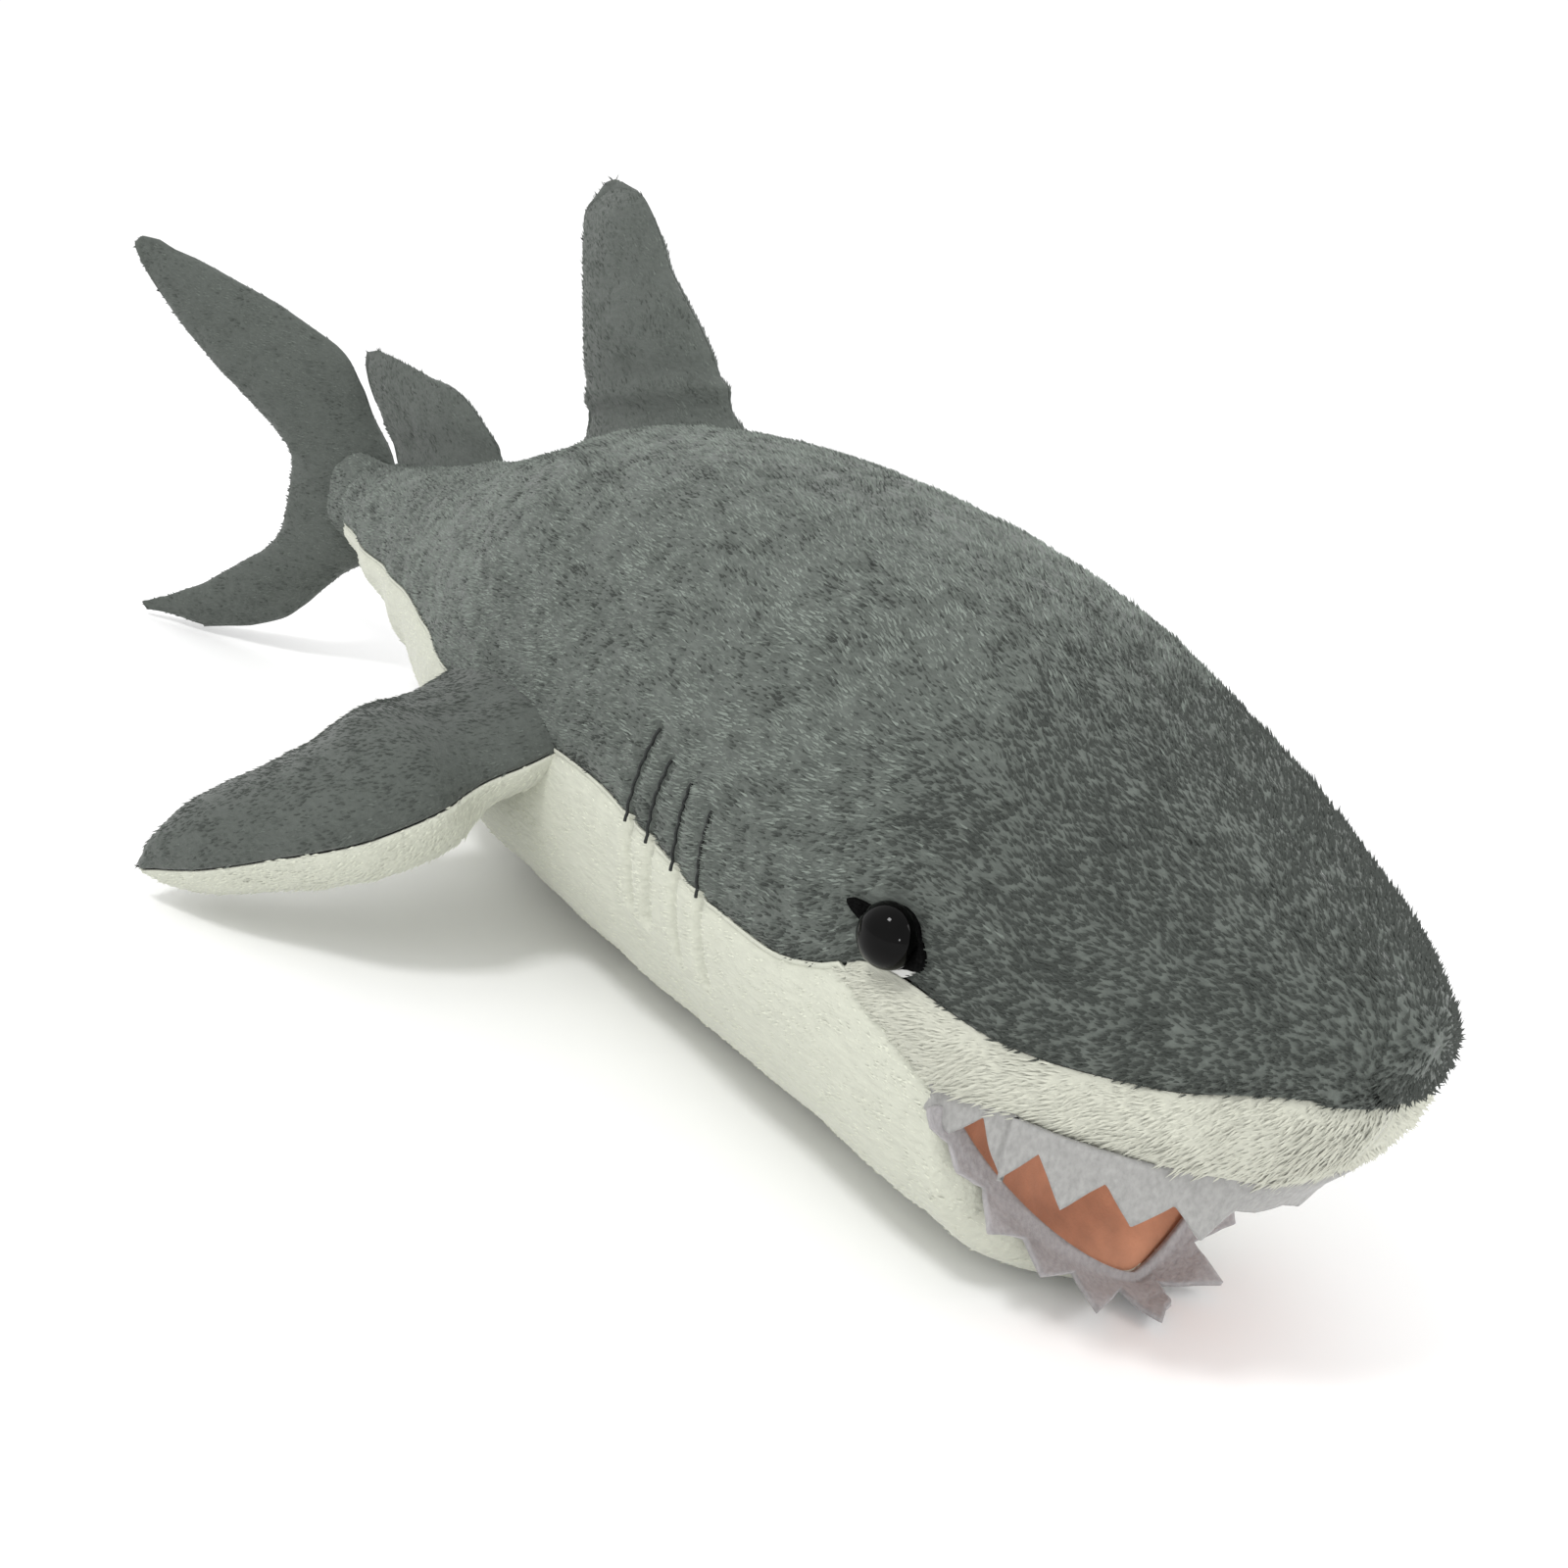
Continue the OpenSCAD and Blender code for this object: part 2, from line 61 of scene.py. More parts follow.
# ---------------------------------------------------------------- camera
camera = bpy.data.objects.new("camera", bpy.data.cameras.new("camera"))
scene.collection.objects.link(camera)
scene.camera = camera
CAM_AT = (0.3929, -0.2584, 0.1867)
CAM_AZIMUTH, CAM_ELEVATION, CAM_ROLL = (math.radians(d) for d in (-39.706, 17.915, 11.562))
look = Vector((
    -math.cos(CAM_AZIMUTH) * math.cos(CAM_ELEVATION),
    -math.sin(CAM_AZIMUTH) * math.cos(CAM_ELEVATION),
    -math.sin(CAM_ELEVATION),
))
level_right = look.cross(Vector((0, 0, 1))).normalized()
level_up = level_right.cross(look)
cam_right = math.cos(CAM_ROLL) * level_right + math.sin(CAM_ROLL) * level_up
cam_up = -math.sin(CAM_ROLL) * level_right + math.cos(CAM_ROLL) * level_up
camera.matrix_world = Matrix.Translation(CAM_AT) @ Matrix(
    (cam_right, cam_up, -look)
).transposed().to_4x4()
camera.data.sensor_width = 36
camera.data.lens = 38.889
camera.data.clip_start = 0.02


# ---------------------------------------------------------------- number helpers
def unit(v):
    return v / np.maximum(np.linalg.norm(v, axis=-1, keepdims=True), 1e-9)


def spow(v, p):
    return np.sign(v) * np.abs(v) ** p


def hermite(xs, ys, x):
    """A smooth curve through every row of a table."""
    xs, ys, x = np.asarray(xs, float), np.asarray(ys, float), np.asarray(x, float)
    n = len(xs)
    a, b = np.maximum(np.arange(n) - 1, 0), np.minimum(np.arange(n) + 1, n - 1)
    slope = (ys[b] - ys[a]) / (xs[b] - xs[a])
    i = np.clip(np.searchsorted(xs, x, side="right") - 1, 0, n - 2)
    d = xs[i + 1] - xs[i]
    t = np.clip((x - xs[i]) / d, 0, 1)
    u = 1 - t
    return (
        ys[i] * u * u * (1 + 2 * t) + slope[i] * d * t * u * u
        + ys[i + 1] * t * t * (3 - 2 * t) - slope[i + 1] * d * t * t * u
    )


def noise(points, size, seed):
    """Smooth noise from -1 to 1, with features of about that size."""
    p = np.asarray(points, float) / size + seed * 17.31
    i = np.floor(p).astype(np.int64)
    f = p - i
    f = f * f * (3 - 2 * f)
    total = 0.0
    for dx in (0, 1):
        for dy in (0, 1):
            for dz in (0, 1):
                h = (i[..., 0] + dx) * 73856093 ^ (i[..., 1] + dy) * 19349663 ^ (i[..., 2] + dz) * 83492791
                h = (h ^ (h >> 13)) * 1274126177 & 0x7FFFFFFF
                h = (h ^ (h >> 15)) & 0xFFFF
                w = np.abs(1 - dx - f[..., 0]) * np.abs(1 - dy - f[..., 1]) * np.abs(1 - dz - f[..., 2])
                total = total + w * (h / 32767.5 - 1)
    return total


def smoothstep(a, b, x):
    t = np.clip((x - a) / (b - a), 0, 1)
    return t * t * (3 - 2 * t)


# ---------------------------------------------------------------- the body's shape, in mm
NOSE_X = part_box("back_panel_right")[1].x / MM
LIP_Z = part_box("palate_lining")[0].z / MM
CORNER_S = 62
BODY = np.array([
    [0, 0, 79, 79], [3, 14, 85, 63], [9, 23, 89, 49], [18, 33, 94, 36], [30, 41.5, 100, 22],
    [45, 49, 107, 8], [62, 54, 114, 0], [80, 57, 121, -2], [100, 58.5, 128, -2.5],
    [150, 60, 137, -2.5], [200, 60, 139, -2.5], [250, 59, 134, -1], [285, 51.5, 121.5, 4], [310, 45, 112, 13],
    [335, 38.8, 104.5, 23], [360, 34, 98.5, 32], [390, 29, 91.3, 41.3], [415, 24.5, 85.8, 49],
    [425, 19.5, 82.6, 53.4], [430, 12, 79, 56],
], float)
SEAM = np.array([
    [0, 66], [10, 66], [25, 62], [50, 59.5], [75, 61.5], [85, 60], [95, 54.5], [110, 50.5],
    [135, 51], [160, 56], [190, 60], [240, 57], [290, 58.5], [330, 61],
    [380, 61], [430, 63],
], float)
CREASE_END = 90
SQUARENESS = 0.87


def body_size(s):
    """Half width, middle height and half height of the body at s mm behind the nose."""
    u = np.sqrt(np.maximum(s, 0))
    w, top, bottom = (hermite(np.sqrt(BODY[:, 0]), BODY[:, c], u) for c in (1, 2, 3))
    return w, (top + bottom) / 2, (top - bottom) / 2


def body_at(s, angle):
    """Points of the body's left side; angle 0 is the side and 90 degrees the top."""
    w, mid, h = body_size(s)
    a = np.radians(angle)
    x = NOSE_X - s + 0 * a
    return np.stack([x, w * spow(np.cos(a), SQUARENESS), mid + h * spow(np.sin(a), SQUARENESS)], -1)


def angle_of(s, z):
    w, mid, h = body_size(s)
    return np.degrees(np.arcsin(np.clip(spow((z - mid) / np.maximum(h, 1e-6), 1 / SQUARENESS), -1, 1)))


def seam_z(s):
    return hermite(SEAM[:, 0], SEAM[:, 1], s)


def crease_z(s):
    return LIP_Z + (float(seam_z(CREASE_END)) - LIP_Z) * np.maximum(0, s - CORNER_S) / (CREASE_END - CORNER_S)


def even_columns(p, cols):
    """Each row of points read again at even steps along its length."""
    run = from_edge(p)
    out = np.empty((len(p), cols, 3))
    for j in range(len(p)):
        for c in range(3):
            out[j, :, c] = np.interp(np.linspace(0, run[j, -1], cols), run[j], p[j, :, c])
    return out


def split_rows(s, low, high, cols):
    """Rows of points from angle low to angle high at each s, evenly spaced along the surface."""
    a = low[:, None] + (high - low)[:, None] * np.linspace(0, 1, 721)
    return even_columns(body_at(s[:, None], a), cols)


def grid_normals(grid, outward):
    """Normals of a grid of points, turned to the side that outward points to."""
    n = unit(np.cross(np.gradient(grid, axis=0), np.gradient(grid, axis=1)))
    flip = np.sign(np.median((n * outward).sum(-1)))
    return n * (flip if flip else 1)


def from_edge(grid, last=False):
    """Distance of each point from its row's first point, or last point, along the row."""
    step = np.linalg.norm(np.diff(grid, axis=1), axis=2)
    if last:
        step = step[:, ::-1]
    run = np.concatenate([np.zeros((len(grid), 1)), np.cumsum(step, 1)], 1)
    return run[:, ::-1] if last else run


# ---------------------------------------------------------------- mesh helpers
def add_mesh(name, points, faces):
    mesh = bpy.data.meshes.new(name)
    mesh.from_pydata((np.asarray(points) * MM).tolist(), [], faces)
    mesh.polygons.foreach_set("use_smooth", [True] * len(mesh.polygons))
    mesh.update()
    o = bpy.data.objects.new(name, mesh)
    scene.collection.objects.link(o)
    return o


def grid_faces(rows, cols, base=0, wrap=False):
    r, c = np.meshgrid(np.arange(rows - 1), np.arange(cols if wrap else cols - 1), indexing="ij")
    a = base + r * cols + c
    b = base + r * cols + (c + 1) % cols
    return np.stack([a, b, b + cols, a + cols], -1).reshape(-1, 4)


def shell(name, outer, normals, thick):
    """A closed sheet: a grid of points, its copy under it, and the rim between them."""
    rows, cols = outer.shape[:2]
    n = rows * cols
    inner = outer - normals * thick
    rim = np.concatenate([
        np.arange(cols), np.arange(1, rows) * cols + cols - 1,
        (rows - 1) * cols + np.arange(cols - 2, -1, -1), np.arange(rows - 2, -1, -1) * cols,
    ])
    rim = rim[:-1] if rim[-1] == rim[0] else rim
    top = grid_faces(rows, cols)
    after = np.roll(rim, -1)
    sides = np.stack([rim, rim + n, after + n, after], -1)
    faces = np.concatenate([top, top[:, ::-1] + n, sides])
    a, b, d = (outer.reshape(-1, 3)[top[len(top) // 2][k]] for k in (0, 1, 3))
    if np.dot(np.cross(b - a, d - a), normals.reshape(-1, 3)[top[len(top) // 2][0]]) < 0:
        faces = faces[:, ::-1]
    return add_mesh(name, np.concatenate([outer.reshape(-1, 3), inner.reshape(-1, 3)]), faces.tolist())


def finished(o, material, place, *nodes):
    """Give a new piece its material and its place, and hide the CAD nodes that it stands for."""
    o.data.materials.append(material)
    place(o)
    if nodes:
        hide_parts(*nodes)
    return o


# ---------------------------------------------------------------- materials
def new_material(name, roughness, sheen=0.0, specular=0.5):
    m = bpy.data.materials.new(name)
    m.use_nodes = True
    b = m.node_tree.nodes["Principled BSDF"]
    b.inputs["Roughness"].default_value = roughness
    b.inputs["Sheen Weight"].default_value = sheen
    b.inputs["Sheen Roughness"].default_value = 0.4
    b.inputs["Specular IOR Level"].default_value = specular
    return m, m.node_tree, b


def noise_node(tree, size_mm, stretch=(1, 1, 1), detail=3):
    """Noise in the part's own coordinates, with features of about that size."""
    place = tree.nodes.new("ShaderNodeTexCoord")
    mapping = tree.nodes.new("ShaderNodeMapping")
    mapping.inputs["Scale"].default_value = stretch
    n = tree.nodes.new("ShaderNodeTexNoise")
    n.inputs["Scale"].default_value = 1 / (size_mm * MM)
    n.inputs["Detail"].default_value = detail
    tree.links.new(place.outputs["Object"], mapping.inputs["Vector"])
    tree.links.new(mapping.outputs["Vector"], n.inputs["Vector"])
    return n.outputs["Fac"]


def ramp(tree, source, stops):
    r = tree.nodes.new("ShaderNodeValToRGB")
    while len(r.color_ramp.elements) < len(stops):
        r.color_ramp.elements.new(0.5)
    for e, (at, colour) in zip(r.color_ramp.elements, stops):
        e.position = at
        e.color = (*colour, 1)
    tree.links.new(source, r.inputs["Fac"])
    return r.outputs["Color"]


def bump(tree, b, source, distance_mm, strength=0.6):
    n = tree.nodes.new("ShaderNodeBump")
    n.inputs["Distance"].default_value = distance_mm * MM
    n.inputs["Strength"].default_value = strength
    tree.links.new(source, n.inputs["Height"])
    if b.inputs["Normal"].is_linked:
        tree.links.new(b.inputs["Normal"].links[0].from_socket, n.inputs["Normal"])
    tree.links.new(n.outputs["Normal"], b.inputs["Normal"])


def rough(tree, b, source, low, high):
    m = tree.nodes.new("ShaderNodeMapRange")
    m.inputs["To Min"].default_value = low
    m.inputs["To Max"].default_value = high
    tree.links.new(source, m.inputs["Value"])
    tree.links.new(m.outputs["Result"], b.inputs["Roughness"])


def tone(colour, k):
    return tuple(min(1, c * k) for c in colour)


def mottle(tree, b, source, dark, light, stops=(0.3, 0.7)):
    """Base colour from dark to light, as the source goes from the first stop to the second."""
    colour = ramp(tree, source, [(stops[0], dark), (stops[1], light)])
    tree.links.new(colour, b.inputs["Base Color"])


def cloth_material(name, colour, spread=0.25, sheen=0.25):
    """Plush backing: mottled colour, fine streaks that lie along the pile, soft bump."""
    m, tree, b = new_material(name, 0.9, sheen)
    fine = noise_node(tree, 1.3, (0.3, 1, 1))
    broad = noise_node(tree, 26, detail=2)
    mix = tree.nodes.new("ShaderNodeMix")
    mix.data_type = "RGBA"
    tree.links.new(broad, mix.inputs["Factor"])
    dark = ramp(tree, fine, [(0.3, tone(colour, 1 - 1.5 * spread)), (0.7, tone(colour, 1))])
    light = ramp(tree, fine, [(0.3, tone(colour, 1 - spread)), (0.7, tone(colour, 1 + spread))])
    tree.links.new(dark, mix.inputs["A"])
    tree.links.new(light, mix.inputs["B"])
    tree.links.new(mix.outputs["Result"], b.inputs["Base Color"])
    rough(tree, b, fine, 0.8, 1.0)
    bump(tree, b, fine, 0.8)
    return m


def pile_materials(name, colours, sheen=0.12):
    """One material per shade of the pile. Each colour is constant; roughness varies."""
    made = []
    for k, colour in enumerate(colours):
        m, tree, b = new_material(f"{name}_{k + 1}", 0.85, sheen, specular=0.3)
        b.inputs["Base Color"].default_value = (*colour, 1)
        b.inputs["Sheen Tint"].default_value = (*tone(colour, 1.6), 1)
        fine = noise_node(tree, 0.9, detail=1)
        rough(tree, b, fine, 0.7, 0.95)
        made.append(m)
    return made


GREY = (0.178, 0.202, 0.180)
CREAM = (0.64, 0.655, 0.555)
LONG_CREAM = (0.57, 0.575, 0.49)
TERRACOTTA = (0.52, 0.24, 0.14)
# The felt is white; these greys are painted shade for the inside of the mouth, and the lower teeth get their
# own copy, tinted for the shade that they sit in.
FELT, LOWER_FELT_SHADED = (0.32, 0.318, 0.308), (0.36, 0.345, 0.35)

# Each backing is its pile's colour darkened: painted shade for the shadow between the tufts.
grey_cloth = cloth_material("grey_backing", tone(GREY, 0.62))
fin_cloth = cloth_material("fin_backing", tone(GREY, 0.45), spread=0.12)
cream_cloth = cloth_material("cream_backing", tone(CREAM, 0.85), spread=0.06)
long_cream_cloth = cloth_material("long_cream_backing", tone(LONG_CREAM, 0.92), spread=0.05)
grey_pile = pile_materials("grey_pile", [tone(GREY, k) for k in (0.27, 0.6, 0.94, 1.24)])
fin_pile = pile_materials("fin_pile", [tone(GREY, k) for k in (0.3, 0.45, 0.57, 0.68)])
cream_pile = pile_materials("cream_pile", [tone(CREAM, k) for k in (0.94, 0.99, 1.04, 1.08)])
long_cream_pile = pile_materials("long_cream_pile", [tone(LONG_CREAM, k) for k in (0.95, 0.99, 1.03, 1.07)])

terracotta, tree, b = new_material("mouth_cloth", 0.8, 0.2)
weave = noise_node(tree, 0.7, detail=2)
mottle(tree, b, noise_node(tree, 9, detail=4), tone(TERRACOTTA, 0.8), tone(TERRACOTTA, 1.15))
rough(tree, b, weave, 0.7, 0.95)
bump(tree, b, weave, 0.25, 0.5)
bump(tree, b, noise_node(tree, 7, detail=2), 1.2, 0.4)


def felt_material(name, colour):
    m, tree, b = new_material(name, 0.95, 0.25)
    fibre = noise_node(tree, 0.9, (1, 0.8, 0.6), detail=5)
    mottle(tree, b, fibre, tone(colour, 0.84), tone(colour, 1.1))
    rough(tree, b, fibre, 0.85, 1.0)
    bump(tree, b, fibre, 0.5, 0.7)
    return m


# Both felts are white felt with painted shade in their colour.
felt = felt_material("white_felt", FELT)
lower_felt_shaded = felt_material("lower_felt_shaded", LOWER_FELT_SHADED)

black_felt, tree, b = new_material("black_felt", 0.95, specular=0.04)
fibre = noise_node(tree, 0.6, detail=4)
mottle(tree, b, fibre, (0.001, 0.001, 0.001), (0.006, 0.006, 0.006))
bump(tree, b, fibre, 0.4, 0.7)

eye_plastic, tree, b = new_material("eye_plastic", 0.02, specular=0.11)
swirl = noise_node(tree, 5, detail=1)
mottle(tree, b, swirl, (0.0006, 0.0006, 0.0006), (0.002, 0.0018, 0.0018), (0.4, 0.7))
rough(tree, b, swirl, 0.01, 0.03)

washer_plastic, tree, b = new_material("washer_plastic", 0.4)
mould = noise_node(tree, 2, detail=2)
mottle(tree, b, mould, (0.68, 0.68, 0.65), (0.76, 0.76, 0.73))
bump(tree, b, mould, 0.1, 0.3)

thread, tree, b = new_material("black_thread", 0.8, 0.1)
twist = noise_node(tree, 0.5, (1, 1, 2), detail=2)
mottle(tree, b, twist, (0.006, 0.008, 0.007), (0.022, 0.026, 0.024))
bump(tree, b, twist, 0.2, 0.6)

# ---------------------------------------------------------------- pile
EYE_S, EYE_Z = 78, 69


def eye_frame():
    a = float(angle_of(np.array(EYE_S), np.array(EYE_Z)))
    p = body_at(np.array(EYE_S), np.array(a))
    up = body_at(np.array(EYE_S), np.array(a + 1)) - body_at(np.array(EYE_S), np.array(a - 1))
    back = body_at(np.array(EYE_S + 1), np.array(a)) - body_at(np.array(EYE_S - 1), np.array(a))
    out = unit(np.cross(up, back))
    out = out if out[1] > 0 else -out
    back = unit(back - (back @ out) * out)
    return p, out, back, unit(np.cross(out, back) * (1 if np.cross(out, back)[2] > 0 else -1))


EYE_P, EYE_OUT, EYE_BACK, EYE_UP = eye_frame()


PIECE_TUFTS = 48000


def pile(name, grid, normals, lay, length, width, spacing, materials, place, seed,
         lean=27, keep=None, shade=None, clump=5.0):
    """Tapered tufts rooted in a grid of points. lay is the direction that they lie in at each point;
    length, width and shade are numbers or grids; keep is a grid from 0 to 1; place(o) is called on each
    piece."""
    rng = np.random.default_rng(seed)
    rows, cols = grid.shape[:2]

    def at(field, r, c, u, v):
        f = np.asarray(field, float)
        if f.ndim < 2:
            f = np.broadcast_to(f, (rows, cols))
        u, v = (u[:, None], v[:, None]) if f.ndim == 3 else (u, v)
        return (
            f[r, c] * (1 - u) * (1 - v) + f[r + 1, c] * u * (1 - v)
            + f[r, c + 1] * (1 - u) * v + f[r + 1, c + 1] * u * v
        )

    a, b, c, d = grid[:-1, :-1], grid[1:, :-1], grid[1:, 1:], grid[:-1, 1:]
    area = sum(np.linalg.norm(np.cross(e - a, f - a), axis=2) for e, f in ((b, c), (c, d))) / 2
    want = area / (spacing * spacing)
    if keep is not None:
        want = want * np.asarray(keep)[:-1, :-1]
    count = np.floor(want + rng.random(want.shape)).astype(int).ravel()
    cell = np.repeat(np.arange(count.size), count)
    first = np.concatenate([[0], np.cumsum(count)[:-1]])
    order = np.arange(len(cell)) - first[cell]
    per = count[cell]
    # A low-discrepancy spread inside each cell keeps the tufts from bunching.
    start = rng.random(count.size)
    u = (start[cell] + order * 0.7548776662 + 0.12 * rng.random(len(cell))) % 1
    v = ((order + rng.random(len(cell))) / per) % 1
    r, k = cell // (cols - 1), cell % (cols - 1)
    p, n, t = at(grid, r, k, u, v), unit(at(normals, r, k, u, v)), at(lay, r, k, u, v)
    t = unit(t - (t * n).sum(-1, keepdims=True) * n)
    side = np.cross(n, t)
    m = len(p)
    swirl = 0.30 * noise(p, clump, seed) + 0.22 * noise(p, clump * 5, seed + 3) + rng.normal(0, 0.16, m)
    t = np.cos(swirl)[:, None] * t + np.sin(swirl)[:, None] * side
    tilt = np.radians(lean * (1 + 0.35 * noise(p, clump * 0.8, seed + 5)) + rng.normal(0, 5, m))
    axis = unit(np.cos(tilt)[:, None] * t + np.sin(tilt)[:, None] * n)
    size = at(length, r, k, u, v) * (1 + 0.2 * noise(p, clump, seed + 7) + rng.normal(0, 0.13, m))
    wide = at(width, r, k, u, v) * (1 + rng.normal(0, 0.12, m))
    across = unit(np.cross(axis, n))
    high = np.cross(across, axis)
    root = p - 0.5 * n
    tip = root + axis * size[:, None]
    tip[:, 2] = np.maximum(tip[:, 2], 0.25)
    belly = root + axis * (0.45 * size)[:, None]
    ring = [
        belly + across * (wide / 2)[:, None], belly - across * (wide / 2)[:, None],
        belly + high * (wide * 0.42)[:, None],
    ]
    points = np.stack([root, *ring, tip], 1)
    points[..., 2] = np.maximum(points[..., 2], 0.2)
    # Shading follows the cloth under the tuft, so the pile reads as soft.
    round_off = unit(np.stack([
        n, n * 0.8 + across * 0.55, n * 0.8 - across * 0.55, n + high * 0.3, n * 0.8 + axis * 0.35], 1))
    tris = np.array([[0, 3, 2], [0, 1, 3], [0, 2, 1], [4, 2, 3], [4, 3, 1], [4, 1, 2]])
    kinds = len(materials)
    level = 0.5 + 0.30 * noise(p, clump * 0.7, seed + 11) + rng.normal(0, 0.16, m)
    if shade is not None:
        level = level + at(shade, r, k, u, v)
    slot = np.clip((level * kinds).astype(int), 0, kinds - 1)
    # Split by place along the grid, so each piece is one patch.
    parts = max(1, math.ceil(m / PIECE_TUFTS))
    for i, cut in enumerate(np.array_split(np.arange(m), parts)):
        q = points[cut].reshape(-1, 3)
        faces = (tris[None] + 5 * np.arange(len(cut))[:, None, None]).reshape(-1, 3)
        mesh = bpy.data.meshes.new(name)
        mesh.vertices.add(len(q))
        mesh.vertices.foreach_set("co", (q * MM).ravel())
        mesh.loops.add(faces.size)
        mesh.loops.foreach_set("vertex_index", faces.ravel().astype(np.int32))
        mesh.polygons.add(len(faces))
        mesh.polygons.foreach_set("loop_start", (np.arange(len(faces)) * 3).astype(np.int32))
        mesh.polygons.foreach_set("use_smooth", np.ones(len(faces), bool))
        for mat in materials:
            mesh.materials.append(mat)
        mesh.polygons.foreach_set("material_index", np.repeat(slot[cut], len(tris)).astype(np.int32))
        mesh.update(calc_edges=True)
        mesh.normals_split_custom_set_from_vertices(round_off[cut].reshape(-1, 3).tolist())
        o = bpy.data.objects.new(name if parts == 1 else f"{name}_{i + 1}", mesh)
        scene.collection.objects.link(o)
        place(o)


def puffed(rest, pinned, cap, seed):
    """Stuffing presses a closed grid of cloth out between its pinned seams: how far each point moves, in mm.
    Rows run along the form, columns go round it. The average is taken off, so the form keeps its size."""
    rows, cols = rest.shape[:2]
    start = rest + 0.35 * np.stack([noise(rest, 11, seed + k) for k in range(3)], -1)
    n = rows * cols
    points = np.concatenate([start.reshape(-1, 3), start[0].mean(0)[None], start[-1].mean(0)[None]])
    ring = np.arange(cols)
    after = (ring + 1) % cols
    faces = grid_faces(rows, cols, wrap=True).tolist()
    faces += np.stack([after, ring, 0 * ring + n], -1).tolist()
    faces += np.stack([n - cols + ring, n - cols + after, 0 * ring + n + 1], -1).tolist()
    across = np.cross(start[1, 0] - start[0, 0], start[0, 1] - start[0, 0])
    if np.dot(across, start[0, 0] - points[n]) > 0:
        faces = [f[::-1] for f in faces]
    o = add_mesh("cloth_at_rest", points, faces)
    held = o.vertex_groups.new(name="seams")
    held.add(np.flatnonzero(pinned.ravel()).tolist() + [n, n + 1], 1.0, "REPLACE")
    cloth = o.modifiers.new("stuffing", "CLOTH")
    cloth.settings.quality = 5
    cloth.settings.use_pressure = True
    cloth.settings.uniform_pressure_force = 4
    cloth.settings.vertex_group_mass = "seams"
    cloth.settings.effector_weights.gravity = 0
    cloth.point_cache.frame_start, cloth.point_cache.frame_end = 1, 20
    for f in range(1, 21):
        scene.frame_set(f)
    shaped = o.evaluated_get(bpy.context.evaluated_depsgraph_get()).data
    flat = np.empty(len(shaped.vertices) * 3)
    shaped.vertices.foreach_get("co", flat)
    moved = flat.reshape(-1, 3)[:n].reshape(rows, cols, 3) / MM - rest
    bpy.data.objects.remove(o)
    scene.frame_set(1)
    wrapped = np.concatenate([rest[:, -1:], rest, rest[:, :1]], 1)
    normal = unit(np.cross(np.gradient(wrapped, axis=0), np.gradient(wrapped, axis=1)))[:, 1:-1]
    outward = rest - rest.mean(1, keepdims=True)
    normal = normal * (np.sign((normal * outward).sum(-1, keepdims=True).mean()) or 1)
    out = np.clip((moved * normal).sum(-1), -cap, cap)
    return out - 0.8 * out[~pinned].mean() * np.where(pinned, 0.5, 1)


def read_at(field, u, v):
    """Read a grid of numbers at u along its rows and v along its columns, both from 0 to 1."""
    rows, cols = field.shape
    a, b = np.clip(u, 0, 1) * (rows - 1), np.clip(v, 0, 1) * (cols - 1)
    i, j = np.minimum(a.astype(int), rows - 2), np.minimum(b.astype(int), cols - 2)
    a, b = a - i, b - j
    a, b = a * a * (3 - 2 * a), b * b * (3 - 2 * b)
    return (field[i, j] * (1 - a) * (1 - b) + field[i + 1, j] * a * (1 - b)
            + field[i, j + 1] * (1 - a) * b + field[i + 1, j + 1] * a * b)


def rides(body):
    def place(o):
        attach(o, body)
    return place


def blends(a, b, start, end, slot_name):
    def place(o):
        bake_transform(o)
    return place


# ---------------------------------------------------------------- body relief
# Gill lines on one side, as distance behind the nose and height, top to bottom.
GILLS = [
    [(135, 71), (136, 62), (135.5, 52), (134.5, 41), (133, 30)],
    [(143.5, 74), (145, 65), (145.5, 52), (145, 42), (144, 31)],
    [(152, 76), (155, 66), (156, 56), (156, 45), (157, 34)],
    [(158.5, 81), (162.5, 70), (165, 57), (164, 47), (163.5, 36)],
]
PILE_DEPTH = 2.0
CLOTH_THICK, THIN_CLOTH = 1.0, 0.8


def gill_points(line, n=70):
    line = np.array(line, float)
    t = np.linspace(0, 1, len(line))
    want = np.linspace(0, 1, n)
    s, z = hermite(t, line[:, 0], want), hermite(t, line[:, 1], want)
    return body_at(s, angle_of(s, z)), s, z


GILL_LINES = [gill_points(g) for g in GILLS]


def nearest(points, line):
    flat = points.reshape(-1, 3)
    best = np.full(len(flat), 1e9)
    for q in line:
        best = np.minimum(best, ((flat - q) ** 2).sum(1))
    return np.sqrt(best).reshape(points.shape[:-1])


def relief(grid, s):
    """How far the left side's cloth stands out or in, in mm, away from its seams."""
    out = 0.9 * noise(grid, 42, 1) + 0.5 * noise(grid, 17, 2)
    for line, _, _ in GILL_LINES:
        far = nearest(grid, line)
        out = out - 1.5 * np.exp(-((far / 1.3) ** 2)) + 0.35 * np.exp(-(((far - 3.6) / 1.8) ** 2))
    out = out - 2.4 * np.exp(-((np.linalg.norm(grid - EYE_P, axis=-1) / 9) ** 2))
    # Soft rings where the tail's stem is drawn together.
    ring = np.sin((s - 318) / 15 * math.pi + 0.03 * (grid[..., 2] - 60) + 1.7 * noise(grid, 34, 5))
    deep = 0.6 + 0.35 * noise(grid, 22, 6)
    out = out + deep * ring * smoothstep(312, 345, s) * (1 - smoothstep(418, 430, s))
    # Folds that fan out behind the pectoral fin.
    fold = np.sin((grid[..., 2] + 0.55 * (s - 270)) / 7.5)
    out = out + 1.0 * fold * np.exp(-(((s - 296) / 24) ** 2)) * np.exp(-(((grid[..., 2] - 58) / 26) ** 2))
    return out


